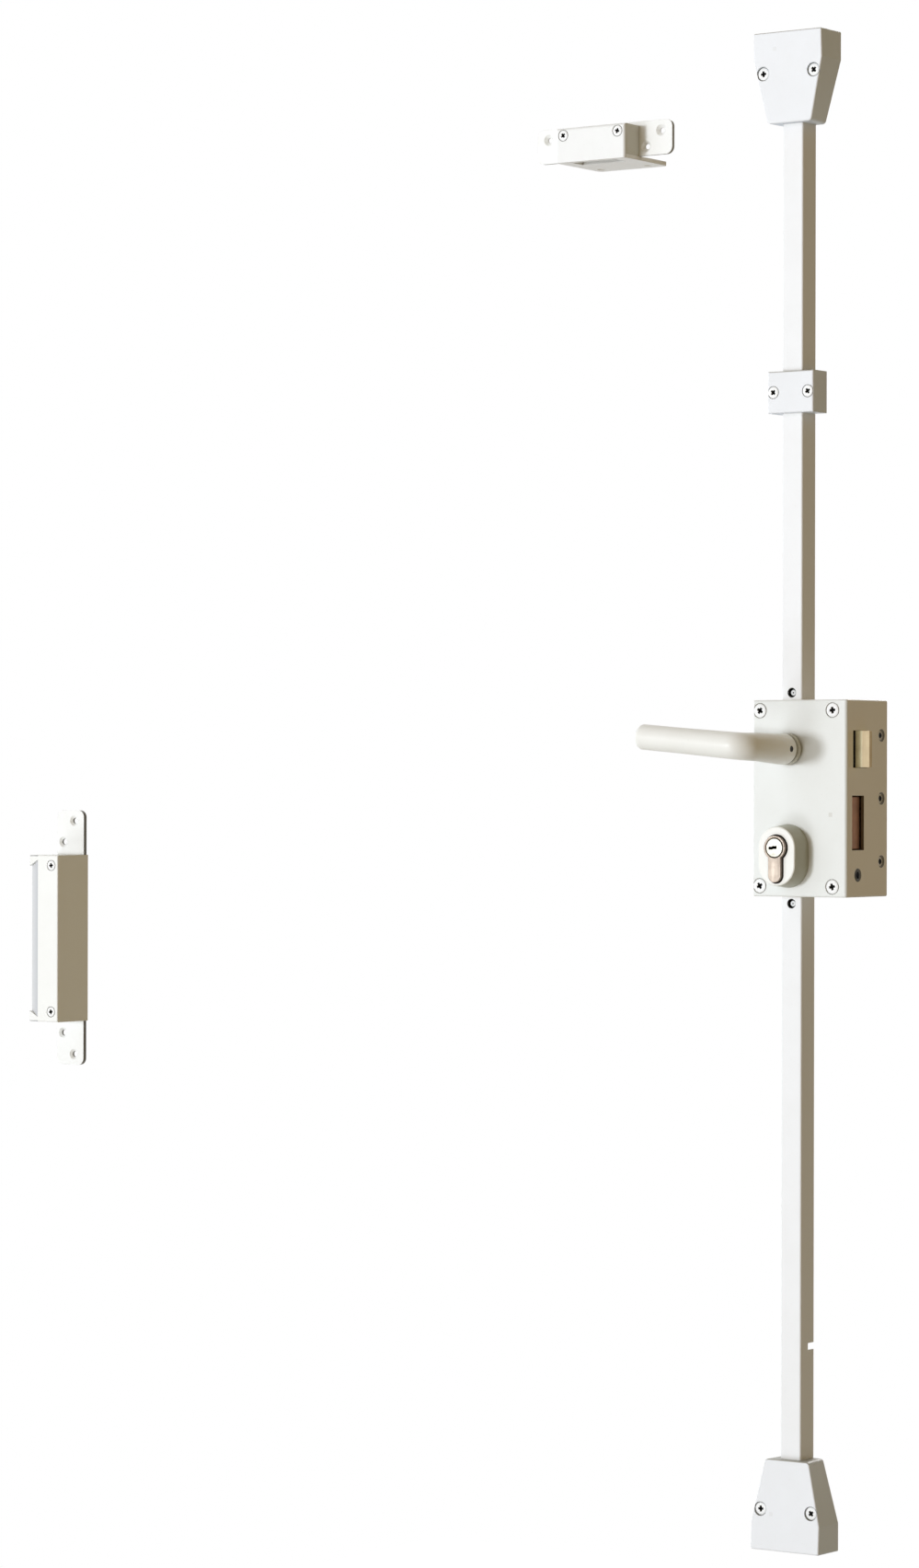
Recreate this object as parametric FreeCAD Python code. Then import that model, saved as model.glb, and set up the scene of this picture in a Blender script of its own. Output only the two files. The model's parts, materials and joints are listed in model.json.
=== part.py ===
import FreeCAD, Part
import math
import os

# A surface-mounted multipoint door lock: a lever-and-cylinder case, two covered rods with a guide and end
# caps, and the two loose strikes that go with it. Millimetres. The door's face is the plane y = 0, the room
# is towards -Y, the latch points towards +X and +Z is up. The origin is the middle of the case's back face.

# Lock case
case_width = 77.0
case_depth = 57.0
case_wall = 2.5
case_round = 1.2
case_bend = 2.2
back_plate_thickness = 3.0
edge_flange_depth = 16.0
edge_flange_end = 12.0
running_gap = 0.3
shaft_gap = 0.05
seat_gap = 0.05

# Cross recess of every countersunk screw: arm and slot in head radii, depth in head heights
cross_arm = 0.46
cross_slot = 0.13
cross_depth = 0.7

# Screws of the case
case_screw_head = 4.9
case_screw_shank = 2.0
case_screw_length = 12.0
case_screw_left = 5.5
case_screw_right = 11.7
case_screw_end = 7.5
screw_ring_gap = 0.65
fine_ring_gap = 0.45
screw_ring_depth = 0.7
hole_length = 6.0
screw_block_width = 6.0
screw_block_height = 10.0
screw_block_length = 10.0
edge_screw_head = 4.5
edge_screw_sink = 1.1
edge_screw_shank = 2.0
edge_screw_length = 7.5
edge_screw_from_door = 8.1
edge_screw_spacing = 45.0
door_hole = 2.6
door_hole_across = 36.0
door_hole_end = 10.0

# Lever set
axis_from_edge = 48.0
axes_apart = 70.0
lever_from_top = 35.0
lever_travel = 40.0
lever_tilt = 4.9
lever_lift = 1.3
lever_reach = 86.5
lever_stand_off = 61.0
lever_neck = 11.2
lever_grip = 9.1
lever_bend = 10.0
lever_tip_round = 4.0
rose_ring = 11.3
rose_ring_width = 3.4
rose_groove = 10.1
rose_back_groove = 1.2
rose_front_groove = 2.3
spindle_side = 8.0
spindle_in_lever = 22.0
grub_radius = 2.0
grub_from_rose = 6.5
grub_recess = 1.0
grub_socket = 1.1
follower_hub = 10.0
follower_front_journal = 8.0
follower_rear_journal = 6.0
follower_thickness = 10.0
follower_arm_width = 6.0
follower_arm_reach = 22.0
lever_spring_wire = 0.6
lever_spring_turns = 5
spring_sides = 8
spring_steps = 16

# Latch
latch_height = 25.9
latch_thickness = 16.0
latch_from_front = 13.0
latch_out = 11.0
latch_travel = 12.0
latch_inside = 18.5
latch_nose = 3.5
latch_round = 0.5
latch_front_gap = 4.0
latch_tail_thickness = 3.0
latch_tail_top = 21.0
latch_push_pin = 2.5
latch_spring_coil = 2.5
latch_spring_wire = 0.45
latch_spring_turns = 8
latch_spring_drop = 5.5
latch_pocket = 3.5
latch_pocket_depth = 10.0
guide_block_gap = 1.0

# Cylinder and its escutcheon
cylinder_from_bottom = 35.0
cylinder_half = 35.0
profile_circle = 8.5
profile_leg = 5.0
profile_drop = 24.5
plug_radius = 6.9
plug_chamfer = 0.5
cam_gap = 10.0
cam_side_gap = 0.2
bridge_top = 17.0
fixing_screw_drop = 19.3
fixing_screw_shank = 2.5
fixing_screw_head = 4.8
fixing_screw_sink = 0.3
keyway_depth = 25.0
keyway_width = 1.9
keyway_left = 4.6
keyway_right = 2.0
keyway_step = 0.25
escutcheon_depth = 16.3
escutcheon_front = 15.0
escutcheon_draft = 1.6
escutcheon_stretch = 12.0
escutcheon_round = 1.2
escutcheon_gap = 1.0
cylinder_proud = 2.9
profile_gap = 0.5

# Deadbolt and gearing: one whole turn of the key is half a turn of the transfer wheel
cam_pitch_radius = 7.0
pressure_angle = math.radians(25.0)
tooth_top = 0.8
tooth_bottom = 1.05
tooth_play = 0.15
flank_steps = 4
cam_teeth = 10
wheel_teeth = 20
hub_teeth = 9
pinion_teeth = 9
wheel_side = 1.5
pinion_side = 2.5
wheel_thickness = 3.0
axle_radius = 3.0
axle_collar = 1.0
rack_grip = 3.0
bolt_recess = 3.0
bolt_length = 30.5
bolt_height = 38.1
bolt_thickness = 16.0
bolt_from_front = 7.9
bolt_above_cylinder = 17.7
bolt_round = 1.0
bolt_bar_height = 7.0
bolt_bar_thickness = 4.0
bolt_block_in = 6.0
bolt_block_height = 19.0
layer_gap = 0.5
rack_layer_gap = 4.0

# Rods and their slides
rod_from_left = 8.5
rod_width = 10.0
rod_thickness = 8.0
rod_behind = 5.75
rack_width = 4.2
slide_width = 8.0
slide_thickness = 3.0
rack_thickness = 3.6
slide_gap = 0.4
link_block = 10.0
lap_length = 14.0
lap_start = 1.0
link_screw_radius = 3.0
link_head_height = 2.0
link_head_round = 0.8
link_slot_width = 1.0
link_slot_depth = 0.8
link_screw_up = 6.0

# Rod covers and guide
cover_width = 17.0
cover_depth = 18.0
cover_wall = 1.5
cover_round = 1.4
cover_hole = 3.5
cover_notch_up = 323.0
cover_notch_height = 5.0
cover_notch_depth = 8.0
guide_width = 38.0
guide_depth = 20.8
guide_height = 30.2
guide_round = 1.2
guide_rear = 1.7
guide_up = 207.6
guide_wall = 1.5
guide_base = 2.0
guide_screw_out = 14.4
guide_screw_head = 4.2
guide_screw_shank = 1.75
guide_screw_length = 16.0
guide_hole_up = 8.0
guide_hole = 2.3

# End caps with their shoot bolts. Their front leans in towards the rod, and their sides lean a little too
lock_height = 1094.3
cap_up = 416.4
cap_height = 65.6
cap_straight = 20.5
cap_wide_front = 56.8
cap_wide_back = 58.6
cap_narrow_front = 36.6
cap_narrow_back = 32.8
cap_depth_wide = 26.6
cap_depth_narrow = 23.2
cap_wall = 2.0
cap_round = 1.2
cap_narrow_round = 3.0
cap_base = 3.0
cover_in_cap = 10.0
cap_screw_up = 36.2
cap_screw_out = 21.0
cap_screw_head = 4.5
cap_screw_shank = 2.0
cap_screw_sink = 1.0
cap_screw_end_gap = 1.0
cap_post = 4.0
cap_hole_up = 16.6
cap_hole_out = 14.0
cap_hole = 2.3
shoot_bolt_radius = 6.0
shoot_bolt_length = 60.0
shoot_bolt_recess = 0.7
shoot_bolt_round = 1.5
bolt_guide_width = 20.0
bolt_guide_depth = 20.0
bolt_guide_length = 36.0

# Main strike, which takes the latch and the deadbolt
strike_left = -728.5
strike_centre_z = -114.5
strike_width = 29.0
strike_depth = 37.8
strike_height = 133.4
strike_front_wall = 4.5
strike_wall = 3.0
strike_round = 1.2
strike_plate_thickness = 3.5
strike_plate_width = 27.5
strike_plate_height = 204.8
strike_plate_corner = 5.5
strike_hole = 2.4
strike_hole_sink = 4.2
strike_outer_end = 8.4
strike_inner_end = 25.4
strike_outer_in = 10.0
strike_inner_in = 21.3
strike_screw_end = 8.2
strike_screw_in = 6.9
strike_screw_head = 3.9
strike_screw_shank = 2.0
strike_screw_length = 14.0
strike_post = 3.8
ramp_width = 8.4
ramp_depth = 2.9
ramp_end = 3.8
ramp_slant = 4.7

# Top strike, which takes the upper shoot bolt
lintel_x = -202.0
lintel_z = 484.6
lintel_width = 61.0
lintel_height = 25.5
lintel_depth = 22.5
lintel_wall = 2.0
lintel_round = 2.0
lintel_plate_left = -261.7
lintel_plate_width = 119.3
lintel_plate_height = 25.7
lintel_plate_thickness = 3.0
lintel_plate_rise = 3.2
lintel_plate_corner = 5.5
lintel_leg_thickness = 3.0
lintel_leg_back = 37.5
lintel_leg_corner = 4.0
lintel_slot_width = 38.0
lintel_slot_depth = 13.5
lintel_outer_holes = 99.6
lintel_inner_holes = 73.6
lintel_outer_up = 5.0
lintel_inner_down = 6.0
lintel_leg_holes = 42.0
lintel_leg_hole_back = 27.0
lintel_hole = 1.9
lintel_hole_sink = 4.2
lintel_screw_out = 24.0
lintel_screw_up = 7.4
lintel_screw_length = 12.0
lintel_lug = 4.0

# Places worked out from the sizes above
case_height = cylinder_from_bottom + axes_apart + lever_from_top
left = -case_width / 2
right = case_width / 2
top = case_height / 2
bottom = -case_height / 2
front = -case_depth
inner_left = left + case_wall
inner_right = right - case_wall
inner_top = top - case_wall
inner_front = front + case_wall
plate_front = -back_plate_thickness
axis_x = right - axis_from_edge
rod_x = left + rod_from_left
rod_front = -rod_behind - rod_thickness
cylinder_z = bottom + cylinder_from_bottom
lever_z = cylinder_z + axes_apart
cylinder_face = front - escutcheon_depth - cylinder_proud
cylinder_mid = cylinder_face + cylinder_half
cylinder_back = cylinder_mid + cylinder_half
latch_front = front + latch_from_front
latch_back = latch_front + latch_thickness
latch_inner = right - latch_inside
latch_z = lever_z
bolt_front = front + bolt_from_front
bolt_back = bolt_front + bolt_thickness
bolt_tip = right - bolt_recess
bolt_inner = bolt_tip - bolt_length
bolt_z = cylinder_z + bolt_above_cylinder
gear_module = 2 * cam_pitch_radius / cam_teeth
cam_r = cam_pitch_radius
wheel_r = gear_module * wheel_teeth / 2
hub_r = gear_module * hub_teeth / 2
pinion_r = gear_module * pinion_teeth / 2
addendum = tooth_top * gear_module
dedendum = tooth_bottom * gear_module
throw = 2 * math.pi * hub_r * cam_teeth / wheel_teeth
wheel_x = axis_x - wheel_side
wheel_z = cylinder_z + math.sqrt((cam_r + wheel_r) ** 2 - wheel_side ** 2)
bar_low = wheel_z + hub_r
bar_high = bar_low + bolt_bar_height
pinion_x = axis_x - pinion_side
pinion_z = bar_high + pinion_r
wheel_front = cylinder_mid - wheel_thickness / 2
wheel_back = wheel_front + wheel_thickness
bar_front = wheel_back + layer_gap
bar_back = bar_front + bolt_bar_thickness
rack_front = bar_back + rack_layer_gap
rack_back = rack_front + rack_thickness
slide_front = rack_back + slide_gap
slide_back = slide_front + slide_thickness
bridge_front = rack_front - 2 * slide_gap - latch_tail_thickness
bridge_back = bridge_front + latch_tail_thickness
follower_back = bridge_front - slide_gap
follower_front = follower_back - follower_thickness
link_far = inner_top - throw - 2 * slide_gap
rose_face = front - rose_back_groove - rose_ring_width - rose_front_groove
cap_down = lock_height - case_height - cap_up - 2 * cap_height
cap_inner_end = top + cap_up
cap_outer_end = cap_inner_end + cap_height
screw_block_back = inner_front + screw_block_length


# Small helpers: plain solids by their limits
def vec(x, y, z):
    return FreeCAD.Vector(x, y, z)


def box(x0, x1, y0, y1, z0, z1):
    return Part.makeBox(x1 - x0, y1 - y0, z1 - z0, vec(x0, y0, z0))


def bar_x(radius, x0, x1, y, z):
    return Part.makeCylinder(radius, x1 - x0, vec(x0, y, z), vec(1, 0, 0))


def bar_y(radius, y0, y1, x, z):
    return Part.makeCylinder(radius, y1 - y0, vec(x, y0, z), vec(0, 1, 0))


def bar_z(radius, z0, z1, x, y):
    return Part.makeCylinder(radius, z1 - z0, vec(x, y, z0), vec(0, 0, 1))


def prism_y(points, y0, y1):
    outline = [vec(x, y0, z) for x, z in points]
    return Part.Face(Part.makePolygon(outline + outline[:1])).extrude(vec(0, y1 - y0, 0))


def prism_z(points, z0, z1):
    outline = [vec(x, y, z0) for x, y in points]
    return Part.Face(Part.makePolygon(outline + outline[:1])).extrude(vec(0, 0, z1 - z0))


def joined(solids):
    first, *rest = solids
    return first.fuse(rest).removeSplitter() if rest else first


def without(solid, cuts):
    return solid.cut(cuts)


def rounded(solid, radius, wanted):
    edges = [edge for edge in solid.Edges if wanted(edge)]
    return solid.makeFillet(radius, edges)


def runs_along(edge, axis):
    start, end = edge.Vertexes[0].Point, edge.Vertexes[-1].Point
    run = end - start
    return run.Length > 0.01 and abs(getattr(run, axis)) > 0.999 * run.Length


def at_y(edge, y):
    box_of_edge = edge.BoundBox
    return abs(box_of_edge.YMin - y) < 0.01 and abs(box_of_edge.YMax - y) < 0.01


def at_z(edge, z):
    box_of_edge = edge.BoundBox
    return abs(box_of_edge.ZMin - z) < 0.01 and abs(box_of_edge.ZMax - z) < 0.01


def aimed(shape, place, direction):
    turn = FreeCAD.Rotation(vec(0, 0, 1), direction)
    moved = shape.copy()
    moved.Placement = FreeCAD.Placement(place, turn)
    return moved


def save(name, shape):
    shape.exportStep("parts/" + name + ".step")


def save_group(name, solids):
    Part.Compound(solids).exportStep("parts/" + name + ".step")


# Screws: built upright with the head's flat at z = 0, then aimed
def countersunk_screw(head, shank, length):
    rise = head - shank
    body = Part.makeCone(head, shank, rise, vec(0, 0, 0), vec(0, 0, -1))
    body = body.fuse(Part.makeCylinder(shank, length, vec(0, 0, 0), vec(0, 0, -1)))
    body = body.removeSplitter()
    arm = cross_arm * head
    slot = cross_slot * head
    depth = cross_depth * rise
    cross = [box(-arm, arm, -slot, slot, -depth, 0.1), box(-slot, slot, -arm, arm, -depth, 0.1)]
    return without(body, cross)


def countersunk_hole(head, shank, length, ring=0.0):
    # A ring is a shallow trench round the head
    hole = Part.makeCone(head + seat_gap, shank + seat_gap, head - shank, vec(0, 0, 0), vec(0, 0, -1))
    hole = hole.fuse(Part.makeCylinder(shank + seat_gap, length, vec(0, 0, 0), vec(0, 0, -1)))
    if ring:
        hole = hole.fuse(Part.makeCylinder(head + ring, screw_ring_depth, vec(0, 0, 0), vec(0, 0, -1)))
    return hole


# Teeth
def involute(angle):
    return math.tan(angle) - angle


def gear_outline(teeth, centre_x, centre_z, phase):
    pitch_r = gear_module * teeth / 2
    base_r = pitch_r * math.cos(pressure_angle)
    tip_r = pitch_r + addendum
    root_r = pitch_r - dedendum
    half = (math.pi * gear_module / 2 - tooth_play) / (2 * pitch_r) + involute(pressure_angle)
    start_r = max(base_r, root_r)
    flank = []
    for step in range(flank_steps + 1):
        radius = start_r + (tip_r - start_r) * step / flank_steps
        flank.append((radius, half - involute(math.acos(min(1.0, base_r / radius)))))
    if root_r < base_r:
        flank.insert(0, (root_r, flank[0][1]))
    points = []
    for tooth in range(teeth):
        middle = phase + 2 * math.pi * tooth / teeth
        profile = [(radius, middle - turn) for radius, turn in flank]
        profile += [(radius, middle + turn) for radius, turn in reversed(flank)]
        points += [(centre_x + r * math.cos(a), centre_z + r * math.sin(a)) for r, a in profile]
    return points


def gear(teeth, centre_x, centre_z, phase, y0, y1, bore):
    body = prism_y(gear_outline(teeth, centre_x, centre_z, phase), y0, y1)
    return body.cut(bar_y(bore, y0 - 1, y1 + 1, centre_x, centre_z)) if bore else body


def tooth_shift(phase, teeth, contact):
    # How far round the pitch circle, counter-clockwise, the tooth nearest the contact point stands
    pitch = 2 * math.pi / teeth
    offset = (phase - contact) % pitch
    if offset > pitch / 2:
        offset -= pitch
    return offset * gear_module * teeth / 2


def rack_teeth(space, low, high):
    # Trapezoids along a line: each is (root start, tip start, tip end, root end)
    pitch = math.pi * gear_module
    half = pitch / 4 - tooth_play / 2
    tip = half - addendum * math.tan(pressure_angle)
    root = half + dedendum * math.tan(pressure_angle)
    first = math.ceil((low + root - space) / pitch - 0.5)
    last = math.floor((high - root - space) / pitch - 0.5)
    centres = [space + (count + 0.5) * pitch for count in range(first, last + 1)]
    return [(c - root, c - tip, c + tip, c + root) for c in centres]


cam_phase = math.pi / 2
to_wheel = math.atan2(wheel_z - cylinder_z, wheel_x - axis_x)
wheel_space = to_wheel + math.pi - tooth_shift(cam_phase, cam_teeth, to_wheel) / wheel_r
wheel_phase = wheel_space + math.pi / wheel_teeth
hub_phase = math.pi / 2
pinion_phase = -math.pi / 2


def profile_solid(extra, y0, y1):
    # The key-shaped section of the cylinder, grown by extra
    circle = bar_y(profile_circle + extra, y0, y1, axis_x, cylinder_z)
    low = cylinder_z - profile_drop + profile_leg
    half = profile_leg + extra
    leg = box(axis_x - half, axis_x + half, y0, y1, low, cylinder_z)
    foot = bar_y(half, y0, y1, axis_x, low)
    return joined([circle, leg, foot])


# Case
case_screw_places = [
    (left + case_screw_left, side * (top - case_screw_end)) for side in (1, -1)
] + [
    (right - case_screw_right, side * (top - case_screw_end)) for side in (1, -1)
]
edge_screw_heights = [edge_screw_spacing, 0.0, -edge_screw_spacing]
fixing_screw_z = cylinder_z - fixing_screw_drop
to_room = vec(0, -1, 0)
to_edge = vec(1, 0, 0)


def case_cover():
    face = box(left, right, front, inner_front, bottom, top)
    side = box(inner_right, right, front, 0, bottom, top)
    body = joined([face, side])
    body = rounded(body, case_bend, lambda e: runs_along(e, "z") and at_y(e, front)
                   and abs(e.BoundBox.XMin - right) < 0.01)
    body = rounded(body, case_round, lambda e: at_y(e, front) and not runs_along(e, "z")
                   or at_y(e, front) and abs(e.BoundBox.XMax - left) < 0.01)
    cuts = [
        box(inner_right - 1, right + 1, latch_front - latch_front_gap, latch_back + running_gap,
            latch_z - latch_height / 2 - running_gap, latch_z + latch_height / 2 + running_gap),
        box(inner_right - 1, right + 1, bolt_front - running_gap, bolt_back + running_gap,
            bolt_z - bolt_height / 2 - running_gap, bolt_z + bolt_height / 2 + running_gap),
        profile_solid(profile_gap, front - 1, inner_front + 1),
        bar_y(follower_front_journal + shaft_gap, front - 1, inner_front + 1, axis_x, lever_z),
        aimed(countersunk_hole(fixing_screw_head, fixing_screw_shank, hole_length),
              vec(right, cylinder_mid, fixing_screw_z), to_edge),
    ]
    for x, z in case_screw_places:
        cuts.append(aimed(countersunk_hole(case_screw_head, case_screw_shank, hole_length, screw_ring_gap),
                          vec(x, front, z), to_room))
    for z in edge_screw_heights:
        cuts.append(aimed(countersunk_hole(edge_screw_head, edge_screw_shank, hole_length),
                          vec(right, -edge_screw_from_door, z), to_edge))
    return without(body, cuts)


def case_surround():
    wall = box(left, inner_left, inner_front, 0, bottom, top)
    lid = box(left, inner_right, inner_front, 0, inner_top, top)
    floor = box(left, inner_right, inner_front, 0, bottom, -inner_top)
    body = joined([wall, lid, floor])
    slots = [
        box(rod_x - slide_width / 2 - running_gap, rod_x + slide_width / 2 + running_gap,
            rod_front - running_gap, -rod_behind + running_gap, z - case_wall, z + case_wall)
        for z in (top, bottom)
    ]
    return without(body, slots)


def screw_blocks():
    blocks = []
    for x, z in case_screw_places:
        side = math.copysign(1, z)
        low, high = sorted((side * inner_top, side * (inner_top - screw_block_height)))
        half = screw_block_width / 2
        block = box(x - half, x + half, inner_front, screw_block_back, low, high)
        hole = countersunk_hole(case_screw_head, case_screw_shank, case_screw_length + 1, screw_ring_gap)
        blocks.append(block.cut(aimed(hole, vec(x, front, z), to_room)))
    return blocks


def back_plate():
    plate = box(inner_left, inner_right, plate_front, 0, -inner_top, inner_top)
    flange = box(inner_right - back_plate_thickness, inner_right, -edge_flange_depth, plate_front,
                 bottom + edge_flange_end, top - edge_flange_end)
    body = joined([plate, flange])
    cuts = [profile_solid(profile_gap, plate_front - 1, 1)]
    cuts += [bar_y(door_hole, plate_front - 1, 1, side * door_hole_across / 2, z)
             for side in (1, -1) for z in (top - door_hole_end, bottom + door_hole_end)]
    cuts += [bar_y(axle_radius, plate_front - 1, plate_front + back_plate_thickness / 2, x, z)
             for x, z in ((wheel_x, wheel_z), (pinion_x, pinion_z))]
    cuts += [bar_x(edge_screw_shank + seat_gap, inner_right - back_plate_thickness - 1, right,
                   -edge_screw_from_door, z) for z in edge_screw_heights]
    return without(body, cuts)


def case_screws():
    screw = countersunk_screw(case_screw_head, case_screw_shank, case_screw_length)
    return [aimed(screw, vec(x, front, z), to_room) for x, z in case_screw_places]


def edge_screws():
    screw = countersunk_screw(edge_screw_head - edge_screw_sink, edge_screw_shank, edge_screw_length)
    head_x = right - edge_screw_sink
    return [aimed(screw, vec(head_x, -edge_screw_from_door, z), to_edge) for z in edge_screw_heights]


# Lever set, turning about the line x = axis_x, z = lever_z
def lever_rose():
    # A ring between two grooves
    bore = follower_front_journal + shaft_gap
    ring_back = front - rose_back_groove
    rings = [
        bar_y(rose_groove, rose_face, front, axis_x, lever_z),
        bar_y(rose_ring, ring_back - rose_ring_width, ring_back, axis_x, lever_z),
    ]
    return joined(rings).cut(bar_y(bore, rose_face - 1, front + 1, axis_x, lever_z))


def turned_up(solid):
    # The lever rests with its free end raised by the tilt
    tilted = solid.copy()
    tilted.rotate(vec(axis_x, 0, lever_z + lever_lift), vec(0, 1, 0), lever_tilt)
    return tilted


def grub_place():
    return rose_face - running_gap - grub_from_rose


def lever_handle():
    neck_end = rose_face - running_gap
    grip_y = front - lever_stand_off
    bend_start = grip_y + lever_bend
    raised = lever_z + lever_lift
    collar = Part.Wire(Part.makeCircle(lever_neck, vec(axis_x, neck_end, lever_z), to_room))
    neck_top = Part.Wire(Part.makeCircle(lever_grip, vec(axis_x, bend_start, raised), to_room))
    neck = Part.makeLoft([collar, neck_top], True, True)
    elbow = Part.Face(neck_top).revolve(vec(axis_x - lever_bend, bend_start, raised), vec(0, 0, 1), -90)
    run = lever_reach - lever_bend
    grip = Part.makeCylinder(lever_grip, run, vec(axis_x - lever_bend, grip_y, raised), vec(-1, 0, 0))
    tip_x = axis_x - lever_reach
    grip = rounded(grip, lever_tip_round, lambda e: abs(e.BoundBox.XMax - tip_x) < 0.01)
    body = joined([neck, turned_up(joined([elbow, grip]))])
    half = spindle_side / 2 + shaft_gap
    cuts = [
        box(axis_x - half, axis_x + half, neck_end - spindle_in_lever, neck_end + 1, lever_z - half,
            lever_z + half),
        bar_x(grub_radius + shaft_gap, axis_x, axis_x + lever_neck + 1, grub_place(), lever_z),
    ]
    return without(body, cuts)


def lever_grub_screw():
    start = axis_x + spindle_side / 2
    end = axis_x + lever_neck - grub_recess
    body = bar_x(grub_radius, start, end, grub_place(), lever_z)
    corners = [
        (grub_place() + grub_socket * math.cos(math.pi / 3 * k), grub_socket * math.sin(math.pi / 3 * k))
        for k in range(6)
    ]
    outline = [vec(end - grub_radius, y, lever_z + z) for y, z in corners]
    socket = Part.Face(Part.makePolygon(outline + outline[:1])).extrude(vec(grub_radius + 1, 0, 0))
    return body.cut(socket)


def spindle():
    half = spindle_side / 2
    front_end = rose_face - running_gap - spindle_in_lever + 1
    return box(axis_x - half, axis_x + half, front_end, follower_back,
               lever_z - half, lever_z + half)


def follower():
    hub = bar_y(follower_hub, follower_front, follower_back, axis_x, lever_z)
    nose = bar_y(follower_front_journal, rose_face, follower_front, axis_x, lever_z)
    tail = bar_y(follower_rear_journal, follower_back, bridge_back, axis_x, lever_z)
    half = follower_arm_width / 2
    arm = box(axis_x - half, axis_x + half, follower_front, follower_back, lever_z,
              lever_z + follower_arm_reach)
    body = joined([hub, nose, tail, arm])
    socket = spindle_side / 2 + shaft_gap
    return body.cut(box(axis_x - socket, axis_x + socket, rose_face - 1, follower_back,
                        lever_z - socket, lever_z + socket))


def coil(radius, wire, turns, length, place, direction):
    sections = []
    steps = turns * spring_steps
    for step in range(steps + 1):
        turn = 2 * math.pi * step / spring_steps
        outward = vec(math.cos(turn), math.sin(turn), 0)
        middle = outward * radius + vec(0, 0, length * step / steps)
        corners = []
        for corner in range(spring_sides):
            angle = 2 * math.pi * corner / spring_sides
            corners.append(middle + outward * (wire * math.cos(angle)) + vec(0, 0, wire * math.sin(angle)))
        sections.append(Part.makePolygon(corners + corners[:1]))
    return aimed(Part.makeLoft(sections, True, True), place, direction)


def lever_spring():
    room = follower_front - inner_front - 2 * lever_spring_wire - 2 * running_gap
    start = vec(axis_x, inner_front + lever_spring_wire + running_gap, lever_z)
    radius = follower_front_journal + 2 * lever_spring_wire
    return coil(radius, lever_spring_wire, lever_spring_turns, room, start, vec(0, 1, 0))


def bearing_right():
    # The bridge's leg stands between the upper rack and the latch's furthest way in
    return latch_inner - latch_travel - 2 * layer_gap


def bearing_bridge():
    leg_left = pinion_x + pinion_r + rack_width + 2 * running_gap
    plate = box(axis_x - follower_hub, bearing_right(), bridge_front, bridge_back,
                latch_z - latch_height / 2, lever_z + follower_rear_journal + slide_gap)
    leg = box(leg_left, bearing_right(), bridge_back, plate_front, latch_z - latch_height / 2,
              lever_z + follower_rear_journal + slide_gap)
    hole = bar_y(follower_rear_journal + shaft_gap, bridge_front - 1, bridge_back + 1, axis_x, lever_z)
    return joined([plate, leg]).cut(hole)


# Latch, sliding along X
def push_pin_up():
    # The height at which the turned arm has pushed the pin by exactly the latch's travel
    turn = math.radians(lever_travel)
    reach = follower_arm_width / 2 + latch_push_pin
    return ((latch_travel + reach) * math.cos(turn) - reach) / math.sin(turn) - running_gap


def latch_bolt():
    nose = right + latch_out
    slope_end = right
    outline = [
        (latch_inner, latch_front),
        (nose, latch_front),
        (nose, latch_front + latch_nose),
        (slope_end, latch_back),
        (latch_inner, latch_back),
    ]
    half = latch_height / 2
    body = prism_z(outline, latch_z - half, latch_z + half)
    body = rounded(body, latch_round, lambda e: abs(e.BoundBox.XMin - nose) < 0.01)
    pocket_end = latch_inner + latch_pocket_depth
    return body.cut(bar_x(latch_pocket, latch_inner - 1, pocket_end, latch_spring_y(), latch_spring_z()))


def latch_spring_y():
    return latch_back - latch_pocket - 2 * slide_gap


def latch_spring_z():
    return latch_z - latch_spring_drop


def latch_tail():
    low = lever_z + follower_rear_journal + 3 * slide_gap
    high = lever_z + latch_tail_top
    pin_x = axis_x - follower_arm_width / 2 - latch_push_pin - running_gap
    pin_z = lever_z + push_pin_up()
    bar = box(pin_x - 2 * latch_push_pin, latch_inner, bridge_front, bridge_back, low, high)
    pin = bar_y(latch_push_pin, follower_front, bridge_front, pin_x, pin_z)
    return joined([bar, pin])


def latch_spring():
    start = bearing_right() + latch_spring_wire
    length = latch_inner + latch_pocket_depth - start - latch_spring_wire
    return coil(latch_spring_coil, latch_spring_wire, latch_spring_turns, length,
                vec(start, latch_spring_y(), latch_spring_z()), vec(1, 0, 0))


def guide_right():
    return inner_right - 2 * back_plate_thickness - guide_block_gap


def latch_guide():
    return box(latch_inner + latch_pocket_depth / 2, guide_right(), latch_back + running_gap, plate_front,
               latch_z - latch_height / 2 + guide_block_gap, latch_z + latch_height / 2 - guide_block_gap)


# Cylinder
def cylinder_escutcheon():
    def outline(y, radius):
        upper = vec(axis_x, y, cylinder_z)
        lower = vec(axis_x, y, cylinder_z - escutcheon_stretch)
        side = vec(radius, 0, 0)
        arcs = [
            Part.Arc(upper + side, upper + vec(0, 0, radius), upper - side).toShape(),
            Part.LineSegment(upper - side, lower - side).toShape(),
            Part.Arc(lower - side, lower - vec(0, 0, radius), lower + side).toShape(),
            Part.LineSegment(lower + side, upper + side).toShape(),
        ]
        return Part.Wire(arcs)

    face_y = front - escutcheon_depth
    outlines = [outline(front, escutcheon_front + escutcheon_draft), outline(face_y, escutcheon_front)]
    body = Part.makeLoft(outlines, True, True)
    body = rounded(body, escutcheon_round, lambda e: at_y(e, face_y))
    return body.cut(profile_solid(escutcheon_gap, face_y - 1, front + 1))


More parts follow.
